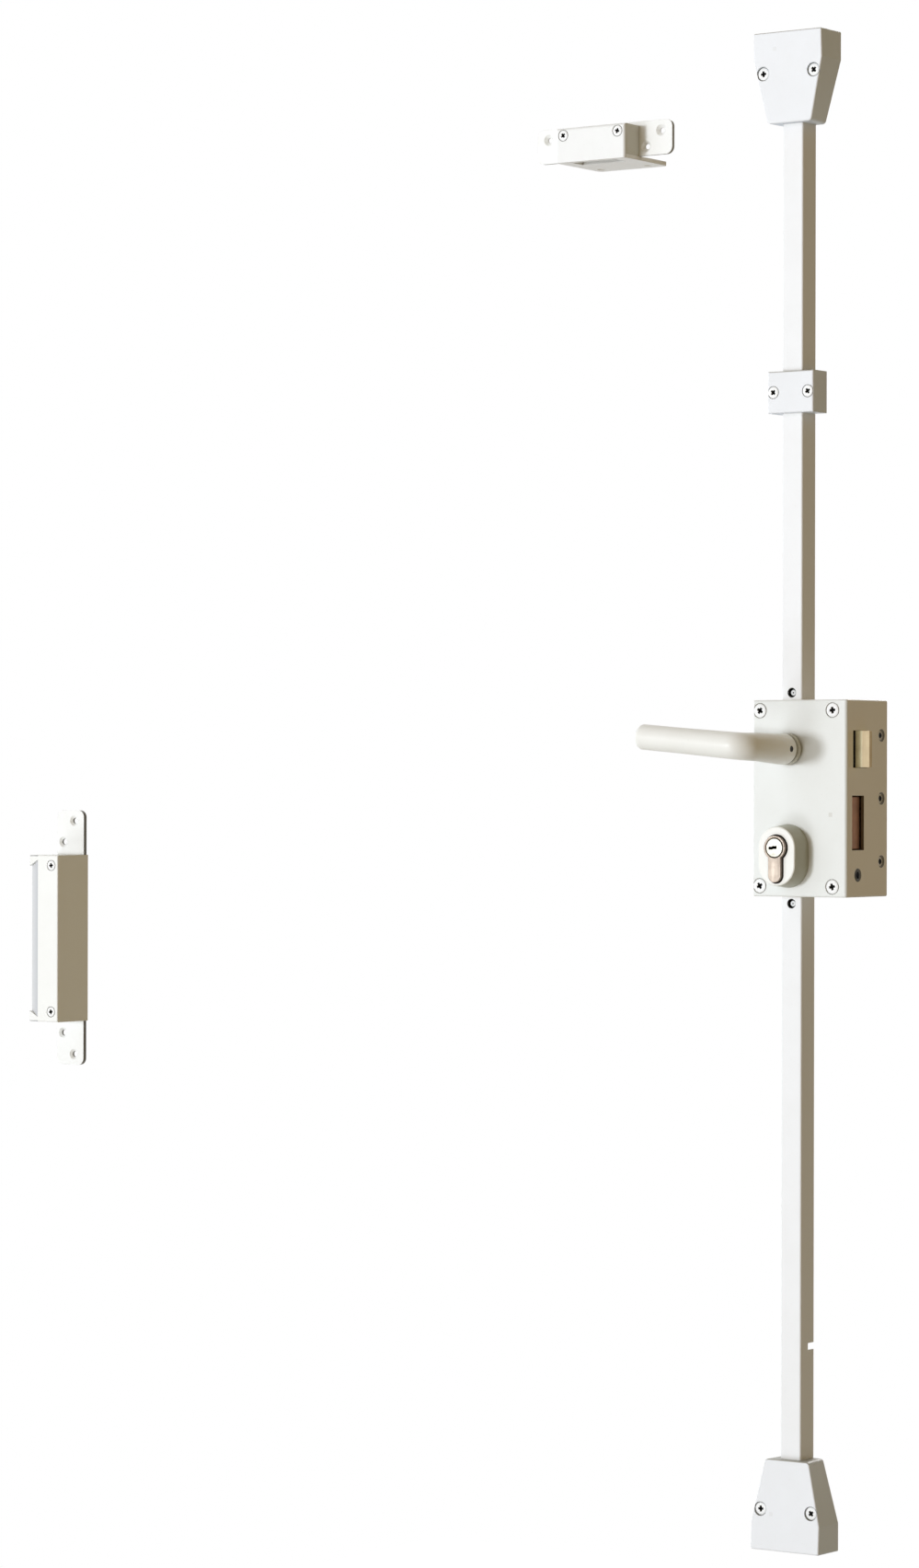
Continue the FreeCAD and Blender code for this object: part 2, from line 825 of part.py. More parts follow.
def cylinder_housing():
    body = profile_solid(0, cylinder_face, cylinder_back)
    half = cam_gap / 2
    across = profile_circle + 1
    bore = plug_radius + shaft_gap
    mouth = Part.makeCone(bore + plug_chamfer, bore, plug_chamfer, vec(axis_x, cylinder_face, cylinder_z),
                          vec(0, 1, 0))
    cuts = [
        mouth,
        bar_y(bore, cylinder_face - 1, cylinder_back + 1, axis_x, cylinder_z),
        box(axis_x - across, axis_x + across, cylinder_mid - half, cylinder_mid + half,
            cylinder_z - bridge_top, cylinder_z + across),
        bar_x(fixing_screw_shank + seat_gap, axis_x - across, axis_x + across, cylinder_mid, fixing_screw_z),
    ]
    return without(body, cuts)


def keyway(y0, y1):
    # A stepped slot, level, a little left of the plug's middle
    half = keyway_width / 2
    left_end = axis_x - keyway_left
    right_end = axis_x + keyway_right
    middle = (left_end + right_end) / 2
    outline = [
        (left_end, cylinder_z - half - keyway_step),
        (middle - keyway_step, cylinder_z - half - keyway_step),
        (middle + keyway_step, cylinder_z - half + keyway_step),
        (right_end, cylinder_z - half + keyway_step),
        (right_end, cylinder_z + half + keyway_step),
        (middle - keyway_step, cylinder_z + half + keyway_step),
        (middle - 2 * keyway_step, cylinder_z + half - keyway_step),
        (left_end, cylinder_z + half - keyway_step),
    ]
    return prism_y(outline, y0, y1)


cam_front = cylinder_mid - cam_gap / 2 + cam_side_gap
cam_back = cylinder_mid + cam_gap / 2 - cam_side_gap


def plug_inner():
    body = bar_y(plug_radius, cylinder_face, cam_front, axis_x, cylinder_z)
    body = body.makeChamfer(plug_chamfer, [edge for edge in body.Edges if at_y(edge, cylinder_face)])
    return body.cut(keyway(cylinder_face - 1, cylinder_face + keyway_depth))


def plug_outer():
    body = bar_y(plug_radius, cam_back, cylinder_back, axis_x, cylinder_z)
    return body.cut(keyway(cylinder_back - keyway_depth, cylinder_back + 1))


def cam_gear():
    return gear(cam_teeth, axis_x, cylinder_z, cam_phase, cam_front, cam_back, 0)


def cylinder_fixing_screw():
    head_x = right - fixing_screw_sink
    length = head_x - axis_x + profile_leg
    screw = countersunk_screw(fixing_screw_head - fixing_screw_sink, fixing_screw_shank, length)
    return aimed(screw, vec(head_x, cylinder_mid, fixing_screw_z), to_edge)


# Gear train
def transfer_wheel():
    wheel = gear(wheel_teeth, wheel_x, wheel_z, wheel_phase, wheel_front, wheel_back, 0)
    hub = gear(hub_teeth, wheel_x, wheel_z, hub_phase, wheel_back, bar_back, 0)
    bore = bar_y(axle_radius + shaft_gap, wheel_front - 1, bar_back + 1, wheel_x, wheel_z)
    return joined([wheel, hub]).cut(bore)


def rod_pinion():
    bore = axle_radius + shaft_gap
    return gear(pinion_teeth, pinion_x, pinion_z, pinion_phase, bar_front, rack_back, bore)


def axle(x, z, y0):
    shaft = bar_y(axle_radius, y0, plate_front + back_plate_thickness / 2, x, z)
    collar_front = rack_back + layer_gap
    collar = bar_y(axle_radius + axle_collar, collar_front, plate_front, x, z)
    return joined([shaft, collar])


def deadbolt():
    half = bolt_height / 2
    block = box(bolt_inner, bolt_tip, bolt_front, bolt_back, bolt_z - half, bolt_z + half)
    return rounded(block, bolt_round, lambda e: abs(e.BoundBox.XMin - bolt_tip) < 0.01)


def deadbolt_rack():
    low_root = bar_low + dedendum
    high_root = bar_high - dedendum
    far = min(wheel_x, pinion_x) - throw - rack_grip
    bar = box(far, bolt_inner, bar_front, bar_back, low_root, high_root)
    low_space = wheel_x - tooth_shift(hub_phase, hub_teeth, math.pi / 2)
    high_space = pinion_x + tooth_shift(pinion_phase, pinion_teeth, -math.pi / 2)
    solids = [bar]
    for root0, tip0, tip1, root1 in rack_teeth(low_space, far, bolt_inner):
        tip_z = bar_low - addendum
        solids.append(prism_y([(root0, low_root), (tip0, tip_z), (tip1, tip_z), (root1, low_root)],
                              bar_front, bar_back))
    for root0, tip0, tip1, root1 in rack_teeth(high_space, far, bolt_inner):
        tip_z = bar_high + addendum
        solids.append(prism_y([(root0, high_root), (tip0, tip_z), (tip1, tip_z), (root1, high_root)],
                              bar_front, bar_back))
    return joined(solids)


def deadbolt_guide():
    return box(bolt_inner + bolt_block_in, guide_right(), bolt_back + running_gap, plate_front,
               bolt_z - bolt_block_height / 2, bolt_z + bolt_block_height / 2)


# Slides: each carries a rack, a plate, a link block and a tongue that leaves the case
def slide_tongue(side):
    half = slide_width / 2
    near = side * (link_far - link_block)
    far = side * (top + lap_length)
    low, high = sorted((near, far))
    return box(rod_x - half, rod_x + half, -rod_behind - rod_thickness / 2, -rod_behind, low, high)


def slide_block(side, y0):
    half = slide_width / 2
    low, high = sorted((side * (link_far - link_block), side * link_far))
    return box(rod_x - half, rod_x + half, y0, -rod_behind, low, high)


def upper_slide():
    pitch_x = pinion_x + pinion_r
    root_x = pitch_x + dedendum
    rack_right = pitch_x + rack_width
    rack_low = pinion_z - throw - rack_grip
    foot_low = pinion_z + axle_radius + axle_collar + 3 * slide_gap + slide_thickness / 2
    foot_high = foot_low + 2 * slide_thickness
    space = pinion_z + tooth_shift(pinion_phase, pinion_teeth, 0)
    solids = [box(root_x, rack_right, rack_front, slide_front, rack_low, foot_high)]
    for root0, tip0, tip1, root1 in rack_teeth(space, rack_low, pinion_z + rack_grip + gear_module * 2):
        tip_x = pitch_x - addendum
        solids.append(prism_y([(root_x, root0), (tip_x, tip0), (tip_x, tip1), (root_x, root1)],
                              rack_front, rack_back))
    half = slide_width / 2
    solids += [
        box(rod_x - half, rack_right, slide_front, slide_back, foot_low, foot_high),
        box(rod_x - half, rod_x + half, slide_front, slide_back, foot_low, link_far),
        slide_block(1, slide_front),
        slide_tongue(1),
    ]
    return joined(solids)


def lower_slide():
    pitch_x = pinion_x - pinion_r
    root_x = pitch_x - dedendum
    half = slide_width / 2
    rack_low = pinion_z - rack_grip
    rack_high = pinion_z + throw + rack_grip
    space = pinion_z - tooth_shift(pinion_phase, pinion_teeth, math.pi)
    solids = [box(rod_x - half, root_x, rack_front, rack_back, rack_low, rack_high)]
    for root0, tip0, tip1, root1 in rack_teeth(space, rack_low, rack_high):
        tip_x = pitch_x + addendum
        solids.append(prism_y([(root_x, root0), (tip_x, tip0), (tip_x, tip1), (root_x, root1)],
                              rack_front, rack_back))
    solids += [
        box(rod_x - half, rod_x + half, rack_front, rack_back, -link_far, rack_low),
        slide_block(-1, rack_front),
        slide_tongue(-1),
    ]
    return joined(solids)


def rod(side, reach):
    half = rod_width / 2
    start = top + lap_start
    end = top + reach + cap_height - shoot_bolt_recess - shoot_bolt_length
    low, high = sorted((side * start, side * end))
    body = box(rod_x - half, rod_x + half, rod_front, -rod_behind, low, high)
    low, high = sorted((side * (start - 1), side * (top + lap_length + running_gap)))
    lap = box(rod_x - half - 1, rod_x + half + 1, -rod_behind - rod_thickness / 2, 0, low, high)
    hole = bar_y(link_screw_radius / 2 + seat_gap, rod_front - 1, 0, rod_x, side * (top + link_screw_up))
    return without(body, [lap, hole])


def link_screw(side):
    z = side * (top + link_screw_up)
    head_front = rod_front - link_head_height
    head = bar_y(link_screw_radius, head_front, rod_front, rod_x, z)
    head = rounded(head, link_head_round, lambda e: at_y(e, head_front))
    shank = bar_y(link_screw_radius / 2, rod_front, -rod_behind - rod_thickness / 2, rod_x, z)
    half = link_slot_width / 2
    slot = box(rod_x - link_screw_radius, rod_x + link_screw_radius, head_front - 1,
               head_front + link_slot_depth, z - half, z + half)
    return joined([head, shank]).cut(slot)


def shoot_bolt(side, reach):
    end = top + reach + cap_height - shoot_bolt_recess
    low, high = sorted((side * (end - shoot_bolt_length), side * end))
    body = bar_z(shoot_bolt_radius, low, high, rod_x, -rod_behind - rod_thickness / 2)
    tip = side * end
    return rounded(body, shoot_bolt_round, lambda e: at_z(e, tip))


# Covers over the rods
def rod_cover(z0, z1, cuts):
    half = cover_width / 2
    body = box(rod_x - half, rod_x + half, -cover_depth, 0, z0, z1)
    body = rounded(body, cover_round, lambda e: runs_along(e, "z") and at_y(e, -cover_depth))
    half -= cover_wall
    inner = box(rod_x - half, rod_x + half, -cover_depth + cover_wall, 1, z0 - 1, z1 + 1)
    return without(body, [inner] + cuts)


def screw_window(side):
    hole_back = -cover_depth + cover_wall + 1
    return bar_y(cover_hole, -cover_depth - 1, hole_back, rod_x, side * (top + link_screw_up))


def lower_cover():
    notch_z = bottom - cover_notch_up
    notch = box(rod_x, rod_x + cover_width, -cover_notch_depth, 1, notch_z - cover_notch_height, notch_z)
    return rod_cover(bottom - cap_down - cover_in_cap, bottom, [screw_window(-1), notch])


# Rod guide, between the two upper covers
guide_low = top + guide_up
guide_high = guide_low + guide_height
guide_left = rod_x - guide_width / 2
guide_right_x = rod_x + guide_width / 2
guide_middle = (guide_low + guide_high) / 2
guide_screw_places = [(rod_x - guide_screw_out, guide_middle), (rod_x + guide_screw_out, guide_middle)]
guide_hole_places = [(rod_x, guide_middle - guide_hole_up), (rod_x, guide_middle + guide_hole_up)]


def rod_passage(gap, z0, z1):
    half = rod_width / 2 + gap
    return box(rod_x - half, rod_x + half, rod_front - gap, -rod_behind + gap, z0, z1)


def rod_guide_cover():
    body = box(guide_left, guide_right_x, -guide_depth, -guide_rear, guide_low, guide_high)
    body = rounded(body, guide_round, lambda e: at_y(e, -guide_depth))
    inner = box(guide_left + guide_wall, guide_right_x - guide_wall, -guide_depth + guide_wall, 1,
                guide_low + guide_wall, guide_high - guide_wall)
    cuts = [inner, rod_passage(2 * running_gap, guide_low - 1, guide_high + 1)]
    hole = countersunk_hole(guide_screw_head, guide_screw_shank, hole_length, fine_ring_gap)
    cuts += [aimed(hole, vec(x, -guide_depth, z), to_room) for x, z in guide_screw_places]
    return without(body, cuts)


def rod_guide_block():
    body = box(guide_left + guide_wall, guide_right_x - guide_wall, -guide_depth + guide_wall, -guide_base,
               guide_low + guide_wall, guide_high - guide_wall)
    cuts = [rod_passage(running_gap / 2, guide_low, guide_high)]
    hole = countersunk_hole(guide_screw_head, guide_screw_shank, guide_screw_length + 1)
    cuts += [aimed(hole, vec(x, -guide_depth, z), to_room) for x, z in guide_screw_places]
    cuts += [bar_y(guide_hole, -rod_behind - 1, 1, x, z) for x, z in guide_hole_places]
    return without(body, cuts)


def rod_guide_base():
    body = box(guide_left + guide_wall, guide_right_x - guide_wall, -guide_base, 0,
               guide_low + guide_wall, guide_high - guide_wall)
    return without(body, [bar_y(guide_hole, -guide_base - 1, 1, x, z) for x, z in guide_hole_places])


def rod_guide_screws():
    screw = countersunk_screw(guide_screw_head, guide_screw_shank, guide_screw_length)
    return [aimed(screw, vec(x, -guide_depth, z), to_room) for x, z in guide_screw_places]


# End caps. Side is 1 for the top one and -1 for the bottom one; reach is from the case to the cap
def cap_face_y(up):
    # The front's place at a height above the narrow end
    return -cap_depth_narrow - (cap_depth_wide - cap_depth_narrow) * up / cap_height


def cap_outline(side, reach, inset, narrow, wide, face_y):
    start = top + reach
    levels = [(narrow, inset), (wide, cap_height - cap_straight), (wide, cap_height - inset)]
    right_side = [vec(rod_x + width / 2 - inset, face_y(up), side * (start + up)) for width, up in levels]
    left_side = [vec(rod_x - width / 2 + inset, face_y(up), side * (start + up)) for width, up in levels]
    corners = right_side + left_side[::-1]
    return Part.makePolygon(corners + corners[:1])


def cap_solid(side, reach, inset=0.0, back_y=0.0):
    back = cap_outline(side, reach, inset, cap_narrow_back, cap_wide_back, lambda up: back_y)
    front_outline = cap_outline(side, reach, inset, cap_narrow_front, cap_wide_front,
                                lambda up: cap_face_y(up) + inset)
    return Part.makeLoft([back, front_outline], True, True)


def cap_room(side, reach):
    # The hollow of the cover, open at the door
    return cap_solid(side, reach, cap_wall, 1.0)


def cap_screw_places(side, reach):
    z = side * (top + reach + cap_screw_up)
    return [(rod_x - cap_screw_out, z), (rod_x + cap_screw_out, z)]


def cap_head_y():
    return cap_face_y(cap_screw_up) + cap_screw_sink


def cap_cover(side, reach):
    start = side * (top + reach)
    end = side * (top + reach + cap_height)

    def is_corner(edge):
        return edge.BoundBox.YLength > cap_depth_narrow - 1

    body = cap_solid(side, reach)
    body = rounded(body, cap_narrow_round, lambda e: is_corner(e) and abs(e.BoundBox.ZMin - start) < 1)
    body = rounded(body, cap_round, lambda e: e.BoundBox.YMax < -cap_depth_narrow + 1 or is_corner(e)
                   and abs(e.BoundBox.ZMin - start) > cap_narrow_round)
    low, high = sorted((start - side, start + side * 2 * cap_wall))
    half = cover_width / 2 + seat_gap
    door_way = box(rod_x - half, rod_x + half, -cover_depth - seat_gap, 1, low, high)
    low, high = sorted((end - side * 2 * cap_wall, end + side))
    bolt_way = bar_z(shoot_bolt_radius + running_gap, low, high, rod_x, -rod_behind - rod_thickness / 2)
    cuts = [cap_room(side, reach), door_way, bolt_way]
    hole = countersunk_hole(cap_screw_head, cap_screw_shank, hole_length, screw_ring_gap)
    for x, z in cap_screw_places(side, reach):
        cuts.append(bar_y(cap_screw_head + screw_ring_gap, -cap_depth_wide - 1, cap_head_y(), x, z))
        cuts.append(aimed(hole, vec(x, cap_head_y(), z), to_room))
    return without(body, cuts)


def cap_block(side, reach):
    # The base plate with the shoot bolt's guide and the two screw posts
    end = top + reach + cap_height - cap_wall
    low, high = sorted((side * (end - bolt_guide_length), side * end))
    half = bolt_guide_width / 2
    guide = box(rod_x - half, rod_x + half, -bolt_guide_depth, -cap_base, low, high)
    low, high = sorted((side * (top + reach), side * end))
    plate = box(rod_x - cap_wide_back, rod_x + cap_wide_back, -cap_base, 0, low, high)
    solids = [plate, guide]
    solids += [bar_y(cap_post, -cap_depth_wide, -cap_base, x, z) for x, z in cap_screw_places(side, reach)]
    body = joined(solids).common(cap_room(side, reach))
    half = cover_width / 2 + seat_gap
    low, high = sorted((side * (top + reach), side * (top + reach + cover_in_cap + seat_gap)))
    cuts = [
        box(rod_x - half, rod_x + half, -cover_depth, 1, low, high),
        bar_z(shoot_bolt_radius + shaft_gap, min(side * (end + 1), side * (end - cap_height)),
              max(side * (end + 1), side * (end - cap_height)), rod_x, -rod_behind - rod_thickness / 2),
    ]
    hole = countersunk_hole(cap_screw_head, cap_screw_shank, -cap_head_y() - cap_base, screw_ring_gap)
    cuts += [aimed(hole, vec(x, cap_head_y(), z), to_room) for x, z in cap_screw_places(side, reach)]
    hole_z = side * (top + reach + cap_hole_up)
    cuts += [bar_y(cap_hole, -cap_base - 1, 1, rod_x + hand * cap_hole_out, hole_z) for hand in (1, -1)]
    return without(body, cuts)


def cap_screws(side, reach):
    length = -cap_head_y() - cap_base - cap_screw_end_gap
    screw = countersunk_screw(cap_screw_head, cap_screw_shank, length)
    return [aimed(screw, vec(x, cap_head_y(), z), to_room) for x, z in cap_screw_places(side, reach)]


# Main strike
strike_right = strike_left + strike_width
strike_top = strike_centre_z + strike_height / 2
strike_bottom = strike_centre_z - strike_height / 2
strike_plate_right = strike_left + strike_plate_width
strike_screw_places = [(strike_right - strike_screw_in, strike_top - strike_screw_end),
                       (strike_right - strike_screw_in, strike_bottom + strike_screw_end)]


def main_strike_plate():
    half = strike_plate_height / 2
    body = box(strike_left, strike_plate_right, -strike_plate_thickness, 0,
               strike_centre_z - half, strike_centre_z + half)
    body = rounded(body, strike_plate_corner, lambda e: runs_along(e, "y"))
    post_front = -strike_depth + strike_front_wall
    posts = [bar_y(strike_post, post_front, -strike_plate_thickness, x, z) for x, z in strike_screw_places]
    body = joined([body] + posts)
    cuts = []
    door_hole_cut = countersunk_hole(strike_hole_sink, strike_hole, hole_length)
    for from_end, inset in ((strike_outer_end, strike_outer_in), (strike_inner_end, strike_inner_in)):
        for z in (strike_centre_z - half + from_end, strike_centre_z + half - from_end):
            place = vec(strike_plate_right - inset, -strike_plate_thickness, z)
            cuts.append(aimed(door_hole_cut, place, to_room))
    hole = countersunk_hole(strike_screw_head, strike_screw_shank, strike_screw_length + 1)
    cuts += [aimed(hole, vec(x, -strike_depth, z), to_room) for x, z in strike_screw_places]
    return without(body, cuts)


def ramp_cut():
    # A shallow lead-in along the open edge of the front wall, narrower at its foot
    deep_y = -strike_depth + ramp_depth
    over = 1.0
    reach = ramp_width + over
    rise = ramp_depth * over / ramp_width
    high = strike_top - ramp_end
    low = strike_bottom + ramp_end
    inner_x = strike_left + ramp_width
    outer_x = strike_left - over
    slant = ramp_slant * reach / ramp_width
    face_y = -strike_depth - over
    slope_low = [vec(inner_x, -strike_depth, low), vec(outer_x, deep_y + rise, low + slant)]
    slope_high = [vec(inner_x, -strike_depth, high), vec(outer_x, deep_y + rise, high - slant)]
    lid_low = [vec(inner_x, face_y, low), vec(outer_x, face_y, low + slant)]
    lid_high = [vec(inner_x, face_y, high), vec(outer_x, face_y, high - slant)]

    def facet(corners):
        return Part.Face(Part.makePolygon(corners + corners[:1]))

    faces = [
        facet([slope_low[0], slope_low[1], slope_high[1], slope_high[0]]),
        facet([lid_low[0], lid_low[1], lid_high[1], lid_high[0]]),
        facet([slope_low[0], slope_low[1], lid_low[1], lid_low[0]]),
        facet([slope_high[0], slope_high[1], lid_high[1], lid_high[0]]),
        facet([slope_low[1], slope_high[1], lid_high[1], lid_low[1]]),
        facet([slope_low[0], slope_high[0], lid_high[0], lid_low[0]]),
    ]
    return Part.Solid(Part.Shell(faces))


def main_strike_cover():
    body = box(strike_left, strike_right, -strike_depth, -strike_plate_thickness, strike_bottom, strike_top)
    body = joined([body, box(strike_plate_right, strike_right, -strike_plate_thickness, 0, strike_bottom,
                             strike_top)])
    body = rounded(body, strike_round, lambda e: at_y(e, -strike_depth)
                   and abs(e.BoundBox.XMax - strike_left) > 0.01)
    inner = box(strike_left - 1, strike_right - strike_wall, -strike_depth + strike_front_wall,
                -strike_plate_thickness, strike_bottom + strike_wall, strike_top - strike_wall)
    cuts = [inner, ramp_cut()]
    hole = countersunk_hole(strike_screw_head, strike_screw_shank, hole_length, fine_ring_gap)
    cuts += [aimed(hole, vec(x, -strike_depth, z), to_room) for x, z in strike_screw_places]
    return without(body, cuts)


def main_strike_screws():
    screw = countersunk_screw(strike_screw_head, strike_screw_shank, strike_screw_length)
    return [aimed(screw, vec(x, -strike_depth, z), to_room) for x, z in strike_screw_places]


# Top strike
lintel_left = lintel_x - lintel_width / 2
lintel_right = lintel_x + lintel_width / 2
lintel_low = lintel_z - lintel_height / 2
lintel_high = lintel_z + lintel_height / 2
lintel_plate_middle = lintel_plate_left + lintel_plate_width / 2
lintel_screw_places = [(lintel_x - lintel_screw_out, lintel_z + lintel_screw_up),
                       (lintel_x + lintel_screw_out, lintel_z + lintel_screw_up)]
lintel_leg_top = lintel_low + lintel_leg_thickness


def top_strike_bracket():
    plate_low = lintel_leg_top
    plate_high = plate_low + lintel_plate_height
    plate = box(lintel_plate_left, lintel_plate_left + lintel_plate_width, -lintel_plate_thickness, 0,
                plate_low, plate_high)
    plate = rounded(plate, lintel_plate_corner, lambda e: runs_along(e, "y"))
    neck_top = plate_low + lintel_plate_corner
    neck = box(lintel_left, lintel_right, -lintel_plate_thickness, 0, lintel_low, neck_top)
    leg_front = -lintel_depth + lintel_wall
    leg = box(lintel_left, lintel_right, leg_front, lintel_leg_back, lintel_low, lintel_leg_top)
    leg = rounded(leg, lintel_leg_corner, lambda e: runs_along(e, "z") and at_y(e, lintel_leg_back))
    lugs = [box(x - lintel_lug, x + lintel_lug, leg_front, -lintel_plate_thickness,
                z - lintel_lug, lintel_high - lintel_wall) for x, z in lintel_screw_places]
    body = joined([plate, neck, leg] + lugs)
    slot_back = -lintel_plate_thickness - running_gap
    slot = box(lintel_x - lintel_slot_width / 2, lintel_x + lintel_slot_width / 2,
               slot_back - lintel_slot_depth, slot_back, lintel_low - 1, lintel_leg_top + 1)
    cuts = [slot]
    frame_hole = countersunk_hole(lintel_hole_sink, lintel_hole, hole_length)
    for spacing, rise in ((lintel_outer_holes, lintel_outer_up), (lintel_inner_holes, -lintel_inner_down)):
        for x in (lintel_plate_middle - spacing / 2, lintel_plate_middle + spacing / 2):
            place = vec(x, -lintel_plate_thickness, (plate_low + plate_high) / 2 + rise)
            cuts.append(aimed(frame_hole, place, to_room))
    for x in (lintel_x - lintel_leg_holes / 2, lintel_x + lintel_leg_holes / 2):
        cuts.append(aimed(frame_hole, vec(x, lintel_leg_hole_back, lintel_low), vec(0, 0, -1)))
    hole = countersunk_hole(strike_screw_head, strike_screw_shank, lintel_screw_length + 1)
    cuts += [aimed(hole, vec(x, -lintel_depth, z), to_room) for x, z in lintel_screw_places]
    return without(body, cuts)


def top_strike_cover():
    body = box(lintel_left, lintel_right, -lintel_depth, -lintel_plate_thickness, lintel_low, lintel_high)
    body = rounded(body, lintel_round, lambda e: at_y(e, -lintel_depth)
                   and abs(e.BoundBox.ZMax - lintel_low) > 0.01)
    inner = box(lintel_left + lintel_wall, lintel_right - lintel_wall, -lintel_depth + lintel_wall, 1,
                lintel_low - 1, lintel_high - lintel_wall)
    leg_way = box(lintel_left - 1, lintel_right + 1, -lintel_depth + lintel_wall, 1,
                  lintel_low - 1, lintel_leg_top)
    cuts = [inner, leg_way]
    hole = countersunk_hole(strike_screw_head, strike_screw_shank, hole_length, fine_ring_gap)
    cuts += [aimed(hole, vec(x, -lintel_depth, z), to_room) for x, z in lintel_screw_places]
    return without(body, cuts)


def top_strike_screws():
    screw = countersunk_screw(strike_screw_head, strike_screw_shank, lintel_screw_length)
    return [aimed(screw, vec(x, -lintel_depth, z), to_room) for x, z in lintel_screw_places]


# Everything, one file per node
os.makedirs("parts", exist_ok=True)

save("case_cover", case_cover())
save("case_surround", case_surround())
save_group("screw_blocks", screw_blocks())
save("back_plate", back_plate())
save_group("case_screws", case_screws())
save_group("edge_screws", edge_screws())

save("lever_rose", lever_rose())
save("lever_handle", lever_handle())
save("lever_grub_screw", lever_grub_screw())
save("spindle", spindle())
save("follower", follower())
save("lever_spring", lever_spring())
save("bearing_bridge", bearing_bridge())

save("latch_bolt", latch_bolt())
save("latch_tail", latch_tail())
save("latch_spring", latch_spring())
save("latch_guide", latch_guide())

save("cylinder_escutcheon", cylinder_escutcheon())
save("cylinder_housing", cylinder_housing())
save("plug_inner", plug_inner())
save("plug_outer", plug_outer())
save("cam_gear", cam_gear())
save("cylinder_fixing_screw", cylinder_fixing_screw())

save("transfer_wheel", transfer_wheel())
save("wheel_axle", axle(wheel_x, wheel_z, wheel_front))
save("rod_pinion", rod_pinion())
save("pinion_axle", axle(pinion_x, pinion_z, bar_front))
save("deadbolt", deadbolt())
save("deadbolt_rack", deadbolt_rack())
save("deadbolt_guide", deadbolt_guide())

save("upper_slide", upper_slide())
save("lower_slide", lower_slide())
save("upper_rod", rod(1, cap_up))
save("lower_rod", rod(-1, cap_down))
save("upper_link_screw", link_screw(1))
save("lower_link_screw", link_screw(-1))
save("top_shoot_bolt", shoot_bolt(1, cap_up))
save("bottom_shoot_bolt", shoot_bolt(-1, cap_down))

save("upper_rod_cover", rod_cover(top, guide_low, [screw_window(1)]))
save("upper_rod_cover_end", rod_cover(guide_high, cap_inner_end + cover_in_cap, []))
save("lower_rod_cover", lower_cover())
save("rod_guide_cover", rod_guide_cover())
save("rod_guide_block", rod_guide_block())
save("rod_guide_base", rod_guide_base())
save_group("rod_guide_screws", rod_guide_screws())

save("top_cap_cover", cap_cover(1, cap_up))
save("top_cap_block", cap_block(1, cap_up))
save_group("top_cap_screws", cap_screws(1, cap_up))
save("bottom_cap_cover", cap_cover(-1, cap_down))
save("bottom_cap_block", cap_block(-1, cap_down))
save_group("bottom_cap_screws", cap_screws(-1, cap_down))

save("main_strike_plate", main_strike_plate())
save("main_strike_cover", main_strike_cover())
save_group("main_strike_screws", main_strike_screws())
save("top_strike_bracket", top_strike_bracket())
save("top_strike_cover", top_strike_cover())
save_group("top_strike_screws", top_strike_screws())

print("one key turn throws the bolts", round(throw, 4))
print("transfer wheel at", round(wheel_x, 3), round(wheel_z, 3))
print("rod pinion at", round(pinion_x, 3), round(pinion_z, 3))
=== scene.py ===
import json
import math
import random

import bmesh
import bpy
from mathutils import Matrix, Vector
from mathutils.geometry import tessellate_polygon

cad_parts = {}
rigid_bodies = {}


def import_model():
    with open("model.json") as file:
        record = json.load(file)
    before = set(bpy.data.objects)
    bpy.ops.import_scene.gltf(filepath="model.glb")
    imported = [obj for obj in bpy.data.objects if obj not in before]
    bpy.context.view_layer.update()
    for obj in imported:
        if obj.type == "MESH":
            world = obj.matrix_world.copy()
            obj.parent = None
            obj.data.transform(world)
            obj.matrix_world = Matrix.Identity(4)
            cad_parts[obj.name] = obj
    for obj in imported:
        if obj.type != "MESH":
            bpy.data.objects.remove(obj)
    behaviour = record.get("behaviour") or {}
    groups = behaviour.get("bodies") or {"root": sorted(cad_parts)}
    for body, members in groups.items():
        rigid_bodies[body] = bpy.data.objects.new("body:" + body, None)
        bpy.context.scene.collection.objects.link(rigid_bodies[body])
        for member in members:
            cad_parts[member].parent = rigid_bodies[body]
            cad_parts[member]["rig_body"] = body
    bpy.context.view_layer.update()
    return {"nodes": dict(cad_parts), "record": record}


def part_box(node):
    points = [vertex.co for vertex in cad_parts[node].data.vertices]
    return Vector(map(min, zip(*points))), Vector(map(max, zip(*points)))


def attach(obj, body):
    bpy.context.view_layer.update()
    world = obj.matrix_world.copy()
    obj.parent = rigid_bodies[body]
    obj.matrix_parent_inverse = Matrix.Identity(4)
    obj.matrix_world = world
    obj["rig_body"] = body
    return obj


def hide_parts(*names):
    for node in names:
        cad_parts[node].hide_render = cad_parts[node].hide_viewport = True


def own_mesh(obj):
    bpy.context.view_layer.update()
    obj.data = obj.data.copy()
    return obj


# The looks of a white surface-mounted multipoint door lock with its two loose strikes.
# All lengths are metres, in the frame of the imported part: the room is at -Y, up is +Z.

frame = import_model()
nodes = frame["nodes"]
dice = random.Random(7)

MM = 0.001
TO_ROOM = Vector((0, -1, 0))
TO_EDGE = Vector((1, 0, 0))
TO_LEVER_TIP = Vector((-1, 0, 0))
UP = Vector((0, 0, 1))


# Photograph's camera
camera_place = Vector((1.7190, -2.9384, 0.00975))
camera_yaw = math.radians(34.95)
camera_roll = math.radians(0.11)
camera_lens = 108.2
camera_sensor = 36.0
camera_reach = 100.0


